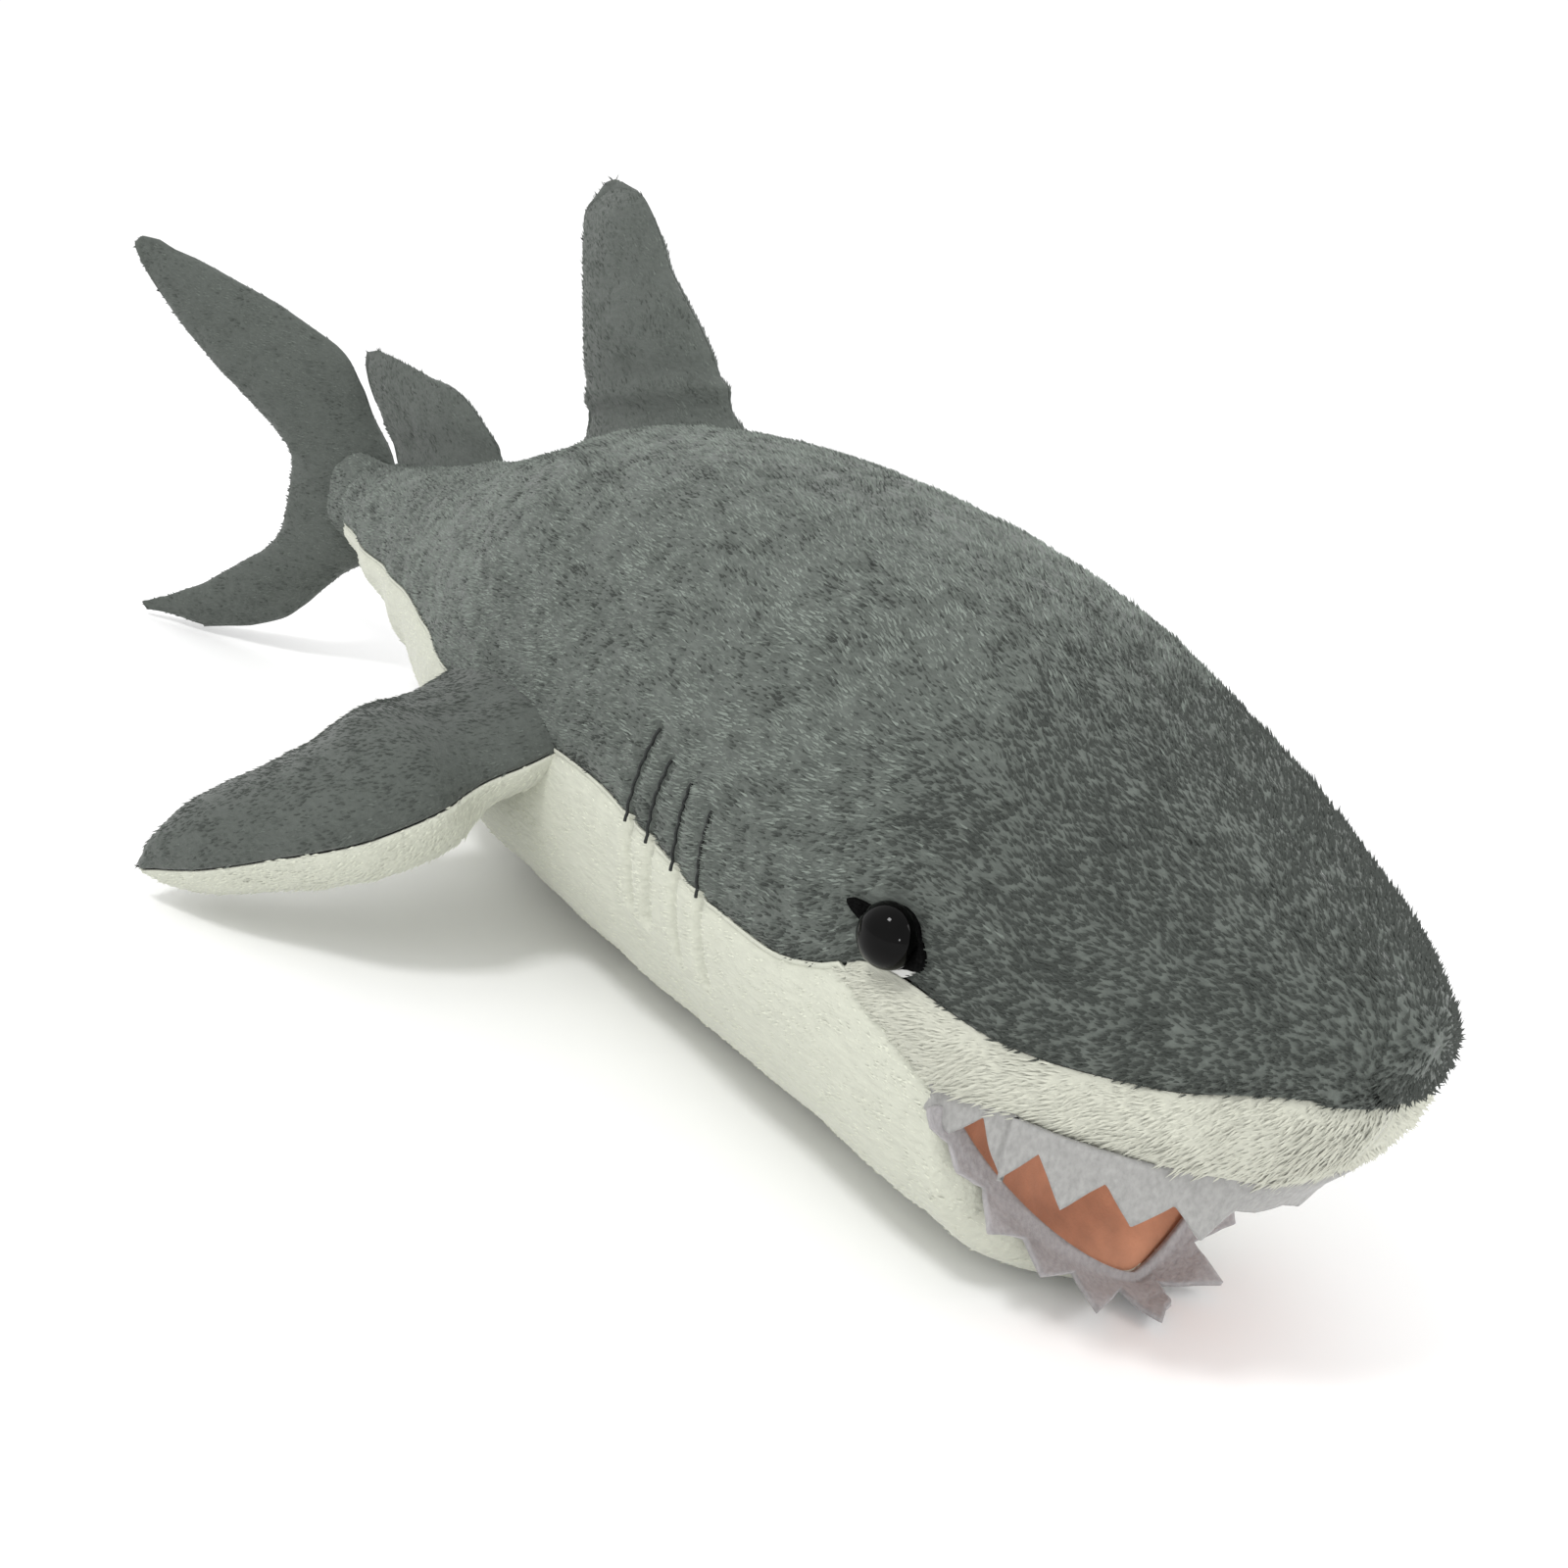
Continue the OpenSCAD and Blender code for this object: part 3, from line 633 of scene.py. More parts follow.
def settle(points):
    """The cloth lies flat where it would go through the floor."""
    low = PILE_DEPTH * 0.7
    points[..., 2] = low + np.where(
        points[..., 2] - low > 3, points[..., 2] - low,
        3 * np.exp((np.minimum(points[..., 2], low + 3) - low - 3) / 3),
    )
    return points


def mirrored(points, side):
    return points * np.array([1, side, 1.0])


# The torso's cloth is pressed out by its stuffing between the back, belly and side seams.
PANEL_COLS = 16
puff_s = np.concatenate([np.linspace(1.6, 6.2, 8) ** 2, np.arange(44, 430, 5.5)])
seam_angle = np.maximum(angle_of(puff_s, seam_z(puff_s)), -89.9)
upper = split_rows(puff_s, seam_angle, np.full(len(puff_s), 90.0), PANEL_COLS + 1)
under = split_rows(puff_s, np.full(len(puff_s), -90.0), seam_angle, PANEL_COLS + 1)
left_half = np.concatenate([under, upper[:, 1:]], 1)
torso_rest = np.concatenate([left_half, mirrored(left_half, -1)[:, -2:0:-1]], 1)
column = np.arange(torso_rest.shape[1])
held = (column % PANEL_COLS == 0) & (column != 0)
torso_pins = held[None] | (puff_s < 9)[:, None] | (puff_s > 424)[:, None] | (torso_rest[..., 2] < 1.5)
torso_puff = puffed(torso_rest, torso_pins, 3.0, 41)
UPPER_PUFF = {1: torso_puff[:, PANEL_COLS:2 * PANEL_COLS + 1],
              -1: torso_puff[:, [-PANEL_COLS - k for k in range(PANEL_COLS + 1)]]}
UNDER_PUFF = torso_puff[:, :PANEL_COLS + 1]


def puff_at(field, s, v):
    return read_at(field, np.interp(s, puff_s, np.linspace(0, 1, len(puff_s))), v) * smoothstep(4, 20, s)


def dress(grid, s, edges, puff):
    """Cloth points and normals: inset by the pile, with relief, and drawn in along its seams.
    The first row is the point of the nose."""
    middle = np.stack([grid[..., 0], 0 * s, body_size(s)[1]], -1)
    normal = grid_normals(grid, grid - middle)
    normal[0] = (1, 0, 0)
    amount = relief(grid, s) + puff - PILE_DEPTH
    for far, depth, width in edges:
        amount = amount - depth * np.exp(-((far / width) ** 2))
    amount = np.where(s < 6, -PILE_DEPTH * smoothstep(-2, 5, s), amount)
    out = settle(grid + normal * amount[..., None])
    normal = grid_normals(out, normal)
    normal[0] = (1, 0, 0)
    return out, normal


def roll_edge(cloth, normal, roll, angles):
    """Add columns that roll the cloth's last edge inwards, round a radius for each row."""
    tangent = unit(cloth[:, -1] - cloth[:, -3])
    outward = unit(normal[:, -1] - (normal[:, -1] * tangent).sum(-1, keepdims=True) * tangent)
    phi = np.radians(angles)[None, :, None]
    turned = np.sin(phi) * tangent[:, None] - (1 - np.cos(phi)) * outward[:, None]
    cloth = np.concatenate([cloth, cloth[:, -1:] + roll[:, None, None] * turned], 1)
    cloth[0, :, 1] = 0
    return cloth


back_s = np.concatenate([
    np.linspace(0.02, math.sqrt(62), 46)[:-1] ** 2, np.arange(62, 130, 2.0), np.arange(130, 168, 0.8),
    np.arange(168, 424, 2.2), [424, 426, 428, 429.2, 430],
])
# Darker patches of the right side's pile: distance behind the nose, y, z and radius.
DARK_SPOTS = [
    (68, 34, 107, 9), (46, 2, 108, 11), (42, 30, 97, 15), (78, 50, 95, 9), (132, 55, 99, 7),
    (20, 14, 88, 22), (24, 28, 74, 16),
]

for side, hand in ((-1, "right"), (1, "left")):
    low = np.maximum(angle_of(back_s, seam_z(back_s)), -90)
    grid = split_rows(back_s, low, np.full(len(back_s), 90.0), 92)
    s = np.repeat(back_s[:, None], grid.shape[1], 1)
    near_seam, near_top = from_edge(grid), from_edge(grid, last=True)
    puff = puff_at(UPPER_PUFF[side], s, np.linspace(0, 1, grid.shape[1])[None] + 0 * s)
    cloth, normal = dress(grid, s, [(near_seam, 1.4, 2.4), (near_top, 0.7, 2.0)], puff)
    cloth[:, -1, 1] = 0
    cloth, normal = mirrored(cloth, side), mirrored(normal, side)
    place = rides("body")
    o = finished(shell(f"back_cloth_{hand}", cloth, normal, CLOTH_THICK), grey_cloth, place,
                 f"back_panel_{hand}", *(["torso_stuffing"] if side < 0 else []))
    # The pile is a little longer on the head, and stays off the eye and the gill stitches.
    mirror_p = mirrored(cloth, side)
    head = 1 - smoothstep(40, 150, s)
    keep = smoothstep(7.5, 9, np.linalg.norm(mirror_p - EYE_P, axis=-1))
    for line, _, _ in GILL_LINES:
        keep = keep * smoothstep(0.4, 1.5, nearest(mirror_p, line))
    # Random tone, and on the head a shift to darker shades: painted shade.
    shade = 0.10 * noise(cloth, 30, 21) + 0.08 * noise(cloth, 12, 22) - 0.7 * (1 - smoothstep(20, 120, s))
    if side < 0:
        for spot_s, y, z, r in DARK_SPOTS:
            far = np.linalg.norm(mirror_p - np.array([NOSE_X - spot_s, y, z]), axis=-1)
            shade = shade - 0.34 * np.exp(-((far / r) ** 2))
    # A darker band of pile along the seam with the belly: a painted shadow line under the overhanging pile.
    shade = shade - 0.25 * np.exp(-((near_seam / 4) ** 2)) * (s < 330)
    pile(f"back_pile_{hand}", cloth, normal, unit(np.gradient(cloth, axis=0)), 2.2 + 0.6 * head,
         0.5 + 0.06 * head, 0.9, grey_pile, place, 100 + side, keep=keep, shade=shade)


# ---------------------------------------------------------------- muzzle
def seam_or_lip(q, start, height):
    """Distance behind the nose, for even steps along the line at height(s), up to the crease's end."""
    s = start + (CREASE_END - start) * np.linspace(0, 1, 400) ** 2
    p = body_at(s, angle_of(s, height(s)))
    run = from_edge(p[None])[0]
    return np.interp(q * run[-1], run, s)


def meets_underside(height):
    s = np.linspace(0.5, 40, 4000)
    w, mid, h = body_size(s)
    return float(s[np.argmax(mid - h < height(s))])


LIP_ROLL = 2.4


def lip_line(s):
    """The muzzle's lower edge hangs a little lower at its front."""
    return crease_z(s) - 1.8 * (1 - smoothstep(12, 38, s))


LIP_START, SEAM_START = meets_underside(lip_line), meets_underside(seam_z)
q = np.linspace(0, 0.985, 96)
lip_s, seam_s = seam_or_lip(q, LIP_START, lip_line), seam_or_lip(q, SEAM_START, seam_z)
lip_a, seam_a = angle_of(lip_s, lip_line(lip_s)), angle_of(seam_s, seam_z(seam_s))
v = np.linspace(0, 1, 26)
muzzle_s = seam_s[:, None] + (lip_s - seam_s)[:, None] * v
muzzle_a = seam_a[:, None] + (lip_a - seam_a)[:, None] * v
for side, hand in ((-1, "right"), (1, "left")):
    grid = body_at(muzzle_s, muzzle_a)
    middle = np.stack([grid[..., 0] - 10, 0 * muzzle_s, body_size(muzzle_s)[1]], -1)
    normal = grid_normals(grid, grid - middle)
    normal[0, :, 1] = 0
    normal = unit(normal)
    top, bottom = from_edge(grid), from_edge(grid, last=True)
    span = top + bottom
    amount = 1.1 * np.sin(np.pi * np.clip(top / np.maximum(span, 1), 0, 1)) * smoothstep(4, 14, span)
    amount = amount + 0.6 * noise(grid, 15, 4) - PILE_DEPTH - 1.3 * np.exp(-((top / 2.2) ** 2))
    cloth = grid + normal * amount[..., None]
    cloth[0, :, 1] = 0
    # The lip rolls under; along the cheek the same roll makes the crease.
    roll = LIP_ROLL * (1 - 0.55 * smoothstep(58, 84, lip_s))
    cloth = roll_edge(cloth, normal, roll, np.linspace(28, 225, 8))
    normal = grid_normals(cloth, np.pad(normal, ((0, 0), (0, 8), (0, 0))))
    normal[0, :, 1] = 0
    normal = unit(normal)
    cloth, normal = mirrored(cloth, side), mirrored(normal, side)
    place = rides("body")
    o = finished(shell(f"muzzle_cloth_{hand}", cloth, normal, THIN_CLOTH), long_cream_cloth, place,
                 f"muzzle_{hand}")
    along, down = unit(np.gradient(cloth, axis=0)), unit(np.gradient(cloth, axis=1))
    keep = smoothstep(8.5, 10, np.linalg.norm(mirrored(cloth, side) - EYE_P, axis=-1))
    keep[:, -4:] = 0
    # The pile darkens along the muzzle's top seam: a painted shadow line; the noise is random tone.
    shade = -0.12 * np.exp(-((from_edge(cloth) / 3) ** 2)) + 0.08 * noise(cloth, 9, 31)
    pile(f"muzzle_pile_{hand}", cloth, normal, unit(along + 0.75 * down), 3.5, 0.52, 0.84, long_cream_pile,
         place, 120 + side, lean=17, keep=keep, shade=shade, clump=6.5)

# ---------------------------------------------------------------- belly and chin
RIM_LEN, RIM_HALF, RIM_POWER, GAPE = 47, 51.6, 1.35, math.radians(68)
RIM_REACH = RIM_LEN * math.cos(GAPE)
JAW_BOTTOM = np.array([[0, 0.8], [2, -0.6], [5, -1.5], [20, -1.5]], float)
JAW_START = CORNER_S - RIM_REACH


def rim_half(k):
    """The open rim's half width at a share k of its length ahead of the hinge line."""
    return RIM_HALF * np.maximum(0, 1 - np.clip(k, 0, 1) ** RIM_POWER) ** (1 / RIM_POWER)


def rim_y(s):
    return rim_half((CORNER_S - s) / RIM_REACH)


def rim_z(s):
    return LIP_Z - 0.8 - (CORNER_S - s) * math.tan(GAPE)


under_s = np.concatenate([
    CORNER_S - RIM_REACH * np.cos(np.linspace(0, math.pi / 2, 36)), np.arange(64, 130, 2.0),
    np.arange(130, 168, 0.9), np.arange(168, 424, 2.4), [424, 426, 428, 429.2, 430],
])
HALF_COLS = 70
a = np.radians(np.linspace(90, 0, 500))
s1 = np.minimum(under_s, CORNER_S)[:, None]
low = hermite(JAW_BOTTOM[:, 0], JAW_BOTTOM[:, 1], s1 - JAW_START)
jaw = np.stack([
    NOSE_X - s1 + 0 * a, rim_y(s1) * spow(np.cos(a), SQUARENESS),
    rim_z(s1) - (rim_z(s1) - low) * spow(np.sin(a), SQUARENESS),
], -1)
jaw = even_columns(jaw, HALF_COLS)
s2 = np.maximum(under_s, CORNER_S)
edge_z = np.where(s2 < CREASE_END, crease_z(s2), seam_z(s2))
trunk = split_rows(s2, np.full(len(s2), -90.0), angle_of(s2, edge_z), HALF_COLS)
mix = smoothstep(57, 73, under_s)[:, None, None]
half = jaw * (1 - mix) + trunk * mix
half[..., 0] = NOSE_X - under_s[:, None]
s = np.repeat(under_s[:, None], HALF_COLS, 1)
top = from_edge(half, last=True)
middle = np.stack([half[..., 0], 0 * s, np.where(s < 62, rim_z(s), body_size(s)[1])], -1)
normal = grid_normals(half, half - middle)
normal[0] = (1, 0, 0)
normal[:, 0, 1] = 0
normal = unit(normal)
share = np.linspace(0, 1, HALF_COLS)[None] + 0 * s
puff = puff_at(UNDER_PUFF, s, share) * smoothstep(64, 84, s)
cheek = 1.8 * np.exp(-(((s - 74) / 20) ** 2) - ((half[..., 2] - 18) / 15) ** 2)
amount = np.where(s > 66, relief(half, s), 0.6 * noise(half, 22, 3)) + puff + cheek - PILE_DEPTH
amount = amount - np.where(s > CORNER_S, 1.3, 0.5) * np.exp(-((top / 2.6) ** 2))
amount = np.where(s < JAW_START + 4, -PILE_DEPTH * smoothstep(-1, 4, s - JAW_START), amount)
cloth = settle(half + normal * amount[..., None])
cloth[:, 0, 1] = 0
# The jaw's rim rolls inwards too.
cloth = roll_edge(cloth, normal, 1.3 * (1 - smoothstep(60, 66, under_s)) + 0.15, np.linspace(35, 215, 6))
cloth = np.concatenate([mirrored(cloth, -1)[:, :0:-1], cloth], 1)
across = np.concatenate([mirrored(normal, -1)[:, :0:-1], normal], 1)
across = np.pad(across, ((0, 0), (6, 6), (0, 0)))
normal = grid_normals(cloth, across)
normal[0] = (1, 0, 0)
place = blends("body", "jaw", (NOSE_X - 84, 0, LIP_Z), (NOSE_X - 54, 0, LIP_Z), "cream_plush")
o = finished(shell("belly_and_chin_cloth", cloth, normal, CLOTH_THICK), cream_cloth, place,
             "belly_panel", "chin_panel", "jaw_stuffing")
keep = np.where(cloth[..., 2] < 2.4, 0.35, 1.0)
keep[:, :4] = keep[:, -4:] = 0
for line, _, _ in GILL_LINES:
    keep = keep * smoothstep(0.2, 1.1, nearest(cloth * np.where(cloth[..., 1:2] < 0, [1, -1, 1], 1), line))
pile("belly_pile", cloth, normal, unit(np.gradient(cloth, axis=0)), 1.9, 0.6, 1.12, cream_pile, place, 140,
     lean=16, keep=keep, shade=0.05 * noise(cloth, 25, 33))

# ---------------------------------------------------------------- mouth
def rim_place(along, y, lift=0.0):
    """A point of the open rim's plane: ahead of the hinge line, y to the side, lifted off the plane."""
    return np.stack([
        NOSE_X - CORNER_S + along * math.cos(GAPE) + lift * math.sin(GAPE), y + 0 * along,
        LIP_Z - 0.8 - along * math.sin(GAPE) + lift * math.cos(GAPE),
    ], -1)


def lining_line(q):
    """The lining's middle: level in the throat, then down the open jaw, with a soft bend between."""
    total = 0
    for d in np.linspace(-5, 5, 11):
        ahead, level = np.maximum(q + d, 0), np.minimum(q + d, 0)
        total = total + rim_place(ahead, 0) + np.stack([level, 0 * q, 0 * q], -1)
    return total / 11


q = np.concatenate([np.linspace(RIM_LEN * 0.955, 8, 30), [6, 4, 2, 0, -2, -4, -6]])
t = np.linspace(-1, 1, 61)
line = lining_line(q)
off = unit(np.gradient(line, axis=0)) @ np.array([[0, 0, 1.0], [0, 1, 0], [-1, 0, 0]])
off = off * np.sign(off[:, 2:])
wide = np.maximum(rim_half(q / RIM_LEN) - 1.8, 0.8) * (1 - 0.16 * smoothstep(1, -6, q))
bowl = 7.5 * smoothstep(RIM_LEN * 0.95, RIM_LEN * 0.55, q) * smoothstep(-6, 10, q)
grid = line[:, None] - off[:, None] * (0.6 + ((1 - np.abs(t) ** 2.2) * bowl[:, None])[..., None])
grid[..., 1] = wide[:, None] * t
grid = grid - off[:, None] * (0.35 * noise(grid, 9, 6))[..., None]
normal = grid_normals(grid, np.zeros_like(grid) + [math.sin(GAPE / 2), 0, math.cos(GAPE / 2)])
place = blends("body", "jaw", (NOSE_X - 68, 0, LIP_Z), (NOSE_X - 58, 0, LIP_Z), "mouth_plush")
finished(shell("jaw_lining_cloth", grid, normal, CLOTH_THICK), terracotta, place, "jaw_lining")

palate_s = np.concatenate([np.linspace(14.5, 62, 40), [63.5, 65, 67, 69]])
lip_y = body_at(palate_s, angle_of(palate_s, crease_z(palate_s)))[:, 1] - 5.5
wide = np.maximum(np.where(palate_s < 62, lip_y, lip_y[39]), 0.8) * (1 - 0.12 * smoothstep(62, 69, palate_s))
y = wide[:, None] * t
vault = 6 * smoothstep(14, 34, palate_s) * (1 - smoothstep(58, 69, palate_s))
vault = (1 - np.abs(t) ** 2.4) * vault[:, None]
grid = np.stack([(NOSE_X - palate_s)[:, None] + 0 * y, y, LIP_Z + 0.2 + vault], -1)
normal = grid_normals(grid, np.zeros_like(grid) + [0, 0, -1])
finished(shell("palate_cloth", grid, normal, CLOTH_THICK), terracotta, rides("body"),
         "palate_lining")

# ---------------------------------------------------------------- felt teeth
FELT_T, SEWN_IN, LOWER_SEWN_IN = 1.1, 2.0, 2.2
UPPER_TOOTH, TOOTH_PITCH, LIP_REACH, LIP_HALF = 11.2, 14, 50, 51.5


def jagged(k, tips, depth, notch):
    """Depth of the felt's edge at k: straight sides from each tip to notches half way to the next."""
    gaps = [(a + b) / 2 for a, b in zip(tips[:-1], tips[1:])]
    gaps = [2 * tips[0] - gaps[0], *gaps, 2 * tips[-1] - gaps[-1]]
    at, deep = [gaps[0]], [notch(gaps[0])]
    for i, tip in enumerate(tips):
        at += [tip, gaps[i + 1]]
        deep += [depth(tip) * (1 + 0.05 * math.sin(7.3 * i)), notch(gaps[i + 1])]
    return np.interp(k, at, deep)


k = np.linspace(-13.6, 13.6, 385)
t = np.radians(k * TOOTH_PITCH / 2)


def upper_depth(i):
    """The teeth shorten towards the mouth's corners and under the nose."""
    if abs(i) == 12:
        return 8
    return UPPER_TOOTH - 0.7 * abs(i) / 10 + 0.5 * (abs(i) == 4) - 1.5 * (abs(i) < 4)


deep = jagged(k, range(-12, 13, 2), upper_depth, lambda i: 1.4 + 0.6 * (11 - abs(i)) if abs(i) < 12 else 6.8)
deep = deep + 0.16 * noise(np.stack([k * 3, 0 * k, 0 * k], -1), 0.7, 8)
rows_v = np.linspace(0, 1, 12)
z = LIP_Z + SEWN_IN - (deep + SEWN_IN)[None, :] * rows_v[:, None]
fall = np.clip((LIP_Z - z) / 10, 0, 1.3)
wave = 1.2 * noise(np.stack([k * 2.2 + 0 * z, 0 * z, z], -1), 5, 9) * fall
wave = wave + 0.6 * fall - 1.5 * (np.abs(k) > 10)
# Under the nose, and on the far side, the teeth are folded inwards.
tuck = np.radians(32 * smoothstep(-4.6, -2.0, k) + 22 * smoothstep(-0.5, 4, k) - 30 * smoothstep(7, 12, k))
below = np.maximum(LIP_Z - 1.0 - z, 0)
z = z + below * (1 - np.cos(tuck))
wave = wave - below * np.sin(tuck)
grid = np.stack([
    NOSE_X - CORNER_S + (LIP_REACH + wave) * np.cos(t), (LIP_HALF + wave) * np.sin(t), z,
], -1)
normal = grid_normals(grid, np.stack([np.cos(t) + 0 * z, np.sin(t) + 0 * z, 0 * z], -1))
o = finished(
    shell("upper_teeth_felt", grid, normal, FELT_T), felt, rides("body"), "upper_teeth")

LOWER_TOOTH, FRONT_EXTRA = 9.0, 5
LOWER_TIPS = [-74, -61, -48, -34, -20, -4, 16, 32, 47, 61, 74]
k = np.linspace(-79, 79, 365)
t = np.radians(k)
deep = jagged(
    k, LOWER_TIPS,
    lambda i: LOWER_TOOTH - 5 * smoothstep(44, 66, abs(i)) + FRONT_EXTRA * smoothstep(34, 14, abs(i)),
    lambda i: 2.4 + 1.4 * (abs(i) < 50))
deep = deep + 0.16 * noise(np.stack([k / 3, 0 * k, 0 * k], -1), 0.7, 12)
grow = -LOWER_SEWN_IN + (deep + LOWER_SEWN_IN)[None, :] * rows_v[:, None]
flat_in, flat_out = np.minimum(grow, 0), np.maximum(grow, 0)
grid = rim_place(
    RIM_LEN * np.cos(t) ** (2 / RIM_POWER) + flat_in * np.cos(t),
    spow(np.sin(t), 2 / RIM_POWER) * RIM_HALF + flat_in * np.sin(t),
)
# Beyond the rim the felt stands out over the chin's edge and droops a little.
heading = np.radians(90) * spow(t / np.radians(90), 0.5)
droop_t = 0.3 * smoothstep(0.05, 0.6, np.abs(t))
beyond = unit(np.stack([np.cos(heading), np.sin(heading), -droop_t], -1))
grid = grid + flat_out[..., None] * beyond
bend = smoothstep(-1.5, 3, grow)[..., None]
off_rim = unit(
    np.array([math.sin(GAPE), 0, math.cos(GAPE)]) * (1 - bend) + np.array([0, 0, 1.0]) * bend)
lift = 1.1 * noise(np.stack([k / 4 + 0 * grow, 0 * grow, grow], -1), 4.5, 13)
lift = 1.1 + lift * np.clip(grow / 6, 0, 1.2)
grid = grid + off_rim * lift[..., None]
grid[..., 2] = np.maximum(grid[..., 2], 1.5 + 0.25 * np.clip(grow, 0, 9) * smoothstep(0.6, 0.1, np.abs(t)))
normal = grid_normals(grid, off_rim + np.zeros_like(grid))
o = finished(
    shell("lower_teeth_felt", grid, normal, FELT_T), lower_felt_shaded, rides("jaw"), "lower_teeth")

# ---------------------------------------------------------------- eyes, patches and gill threads
EYE_R, PATCH_T, THREAD_R = 6.5, 1.3, 0.4
for side, hand in ((-1, "right"), (1, "left")):
    turn, rise = np.linspace(0, 2 * math.pi, 65)[:-1], np.linspace(0, math.pi / 2, 20)
    rings = [np.stack([5.4 * np.cos(turn), 5.4 * np.sin(turn), 0 * turn - 1.6], -1)]
    rings += [np.stack([EYE_R * math.cos(r) * np.cos(turn), EYE_R * math.cos(r) * np.sin(turn),
                        0 * turn + EYE_R * 0.86 * math.sin(r) + 0.2], -1) for r in rise[:-1]]
    local = np.concatenate([*rings, [[0, 0, EYE_R * 0.86 + 0.2]], [[0, 0, -1.6]]])
    n_ring = len(rings)
    faces = grid_faces(n_ring, 64, wrap=True).tolist()
    last = n_ring * 64
    faces += [[(n_ring - 1) * 64 + i, (n_ring - 1) * 64 + (i + 1) % 64, last] for i in range(64)]
    faces += [[(i + 1) % 64, i, last + 1] for i in range(64)]
    world_pts = EYE_P - 1.3 * EYE_OUT + local @ np.stack([EYE_BACK, EYE_UP, EYE_OUT])
    if (side < 0) != (np.dot(np.cross(EYE_BACK, EYE_UP), EYE_OUT) < 0):
        faces = [f[::-1] for f in faces]
    finished(add_mesh(f"eye_dome_{hand}", mirrored(world_pts, side), faces), eye_plastic,
             rides("body"), f"eye_{hand}")

    # The patch: a disc with a long point towards the rear and a short one forwards.
    turn = np.linspace(0, 2 * math.pi, 121)[:-1]
    point = np.where(np.cos(turn) > 0, 5.4 * np.abs(np.cos(turn)) ** 50, 2.8 * np.abs(np.cos(turn)) ** 14)
    radius = 6.2 + point + 0.2 * noise(np.stack([4 * turn, 0 * turn, 0 * turn], -1), 0.6, 14)
    heading = turn + math.radians(4)
    flat = np.stack([
        np.stack([r * radius * np.cos(heading), r * radius * np.sin(heading)], -1)
        for r in np.linspace(0, 1, 9)])
    flat = flat + [0.1, -0.5]
    cloth_mesh = bpy.data.objects[f"back_cloth_{hand}"].data
    under_patch = BVHTree.FromPolygons(
        [v.co.copy() for v in cloth_mesh.vertices], [tuple(p.vertices) for p in cloth_mesh.polygons])
    eye_p, out = mirrored(EYE_P, side), mirrored(EYE_OUT, side)
    back, up = mirrored(EYE_BACK, side), mirrored(EYE_UP, side)
    grid = np.empty((9, 120, 3))
    for i in range(9):
        for j in range(120):
            p = eye_p + flat[i, j, 0] * back + flat[i, j, 1] * up
            hit = under_patch.ray_cast(Vector((p + 12 * out) * MM), Vector(-out))
            p = np.array(hit[0]) / MM if hit[0] is not None else p
            grid[i, j] = p + out * 1.5
    top = np.concatenate([grid[1:].reshape(-1, 3), grid[0, :1]])
    n = len(top)
    faces = grid_faces(8, 120, wrap=True)
    caps = np.array([[i, (i + 1) % 120, n - 1] for i in range(120)])
    edge = 7 * 120 + np.arange(120)
    rim = np.stack([edge, edge + n, np.roll(edge, -1) + n, np.roll(edge, -1)], -1)
    faces = [faces[:, ::-1], caps, faces + n, caps[:, ::-1] + n, rim]
    faces = [f for group in faces for f in group.tolist()]
    top = np.concatenate([top, top - out * PATCH_T])
    finished(add_mesh(f"eye_patch_felt_{hand}", top, faces), black_felt,
             rides("body"), f"eye_patch_{hand}")

    # Gill threads: running stitches that lie in the creases.
    points, faces = [], []
    for line, line_s, line_z in GILL_LINES:
        use = line_z > seam_z(line_s) - 1
        path = line[use]
        outward = unit(path - np.stack([path[:, 0], 0 * path[:, 0], body_size(line_s[use])[1]], -1))
        path = path + outward * (-PILE_DEPTH - 0.5)
        n_pts = len(path)
        stitch = np.abs(np.sin(np.linspace(0, 1, n_pts) * math.pi * 5.5))
        path = path + outward * (0.5 * stitch ** 0.6 + 0.1)[:, None]
        along = unit(np.gradient(path, axis=0))
        u = unit(np.cross(along, outward))
        w = np.cross(u, along)
        base = len(points)
        for i in range(n_pts):
            for j in range(6):
                ang = j * math.pi / 3 + i * 0.35
                points.append(path[i] + THREAD_R * (math.cos(ang) * u[i] + math.sin(ang) * w[i]))
        faces += grid_faces(n_pts, 6, base, wrap=True).tolist()
        faces += [[base + j for j in range(6)][::-1], [base + (n_pts - 1) * 6 + j for j in range(6)]]
    if side < 0:
        faces = [f[::-1] for f in faces]
    finished(add_mesh(f"gill_threads_{hand}", mirrored(np.array(points), side), faces), thread,
             rides("body"), f"gill_stitches_{hand}")
    washer = frame["nodes"][f"eye_washer_{hand}"]
    washer.data.materials.clear()
    washer.data.materials.append(washer_plastic)

# ---------------------------------------------------------------- fins
JOINTS = {j["name"]: j for j in frame["joints"]}
# Rows of height above the hinge (above the floor for the tail), leading and trailing edge, half thickness.
DORSAL = [
    [-14, 40, -46, 11], [-9, 35, -42, 8.5], [-4, 31.5, -41, 7.3],
    [0, 30, -41, 7], [11, 22, -42, 8], [22, 13, -42.8, 7.7], [33, 4.2, -43.4, 6.9], [43, -1.8, -44, 5.8],
    [51, -7.5, -44, 4.3], [57.5, -14.5, -41.5, 2.5], [62, -25.5, -31.5, 0.5],
]
SECOND = [
    [-10, 38, -43, 8], [-6, 36, -42.5, 6], [-3, 34.5, -42.5, 5.2],
    [0, 32.5, -43.5, 5], [6, 25, -48.5, 5.8], [13, 16, -53.5, 5.6], [19, 4, -57, 4.8], [23.5, -13, -59, 3.8],
    [30, -34, -59.5, 2.3], [33.4, -48, -56.5, 0.5],
]
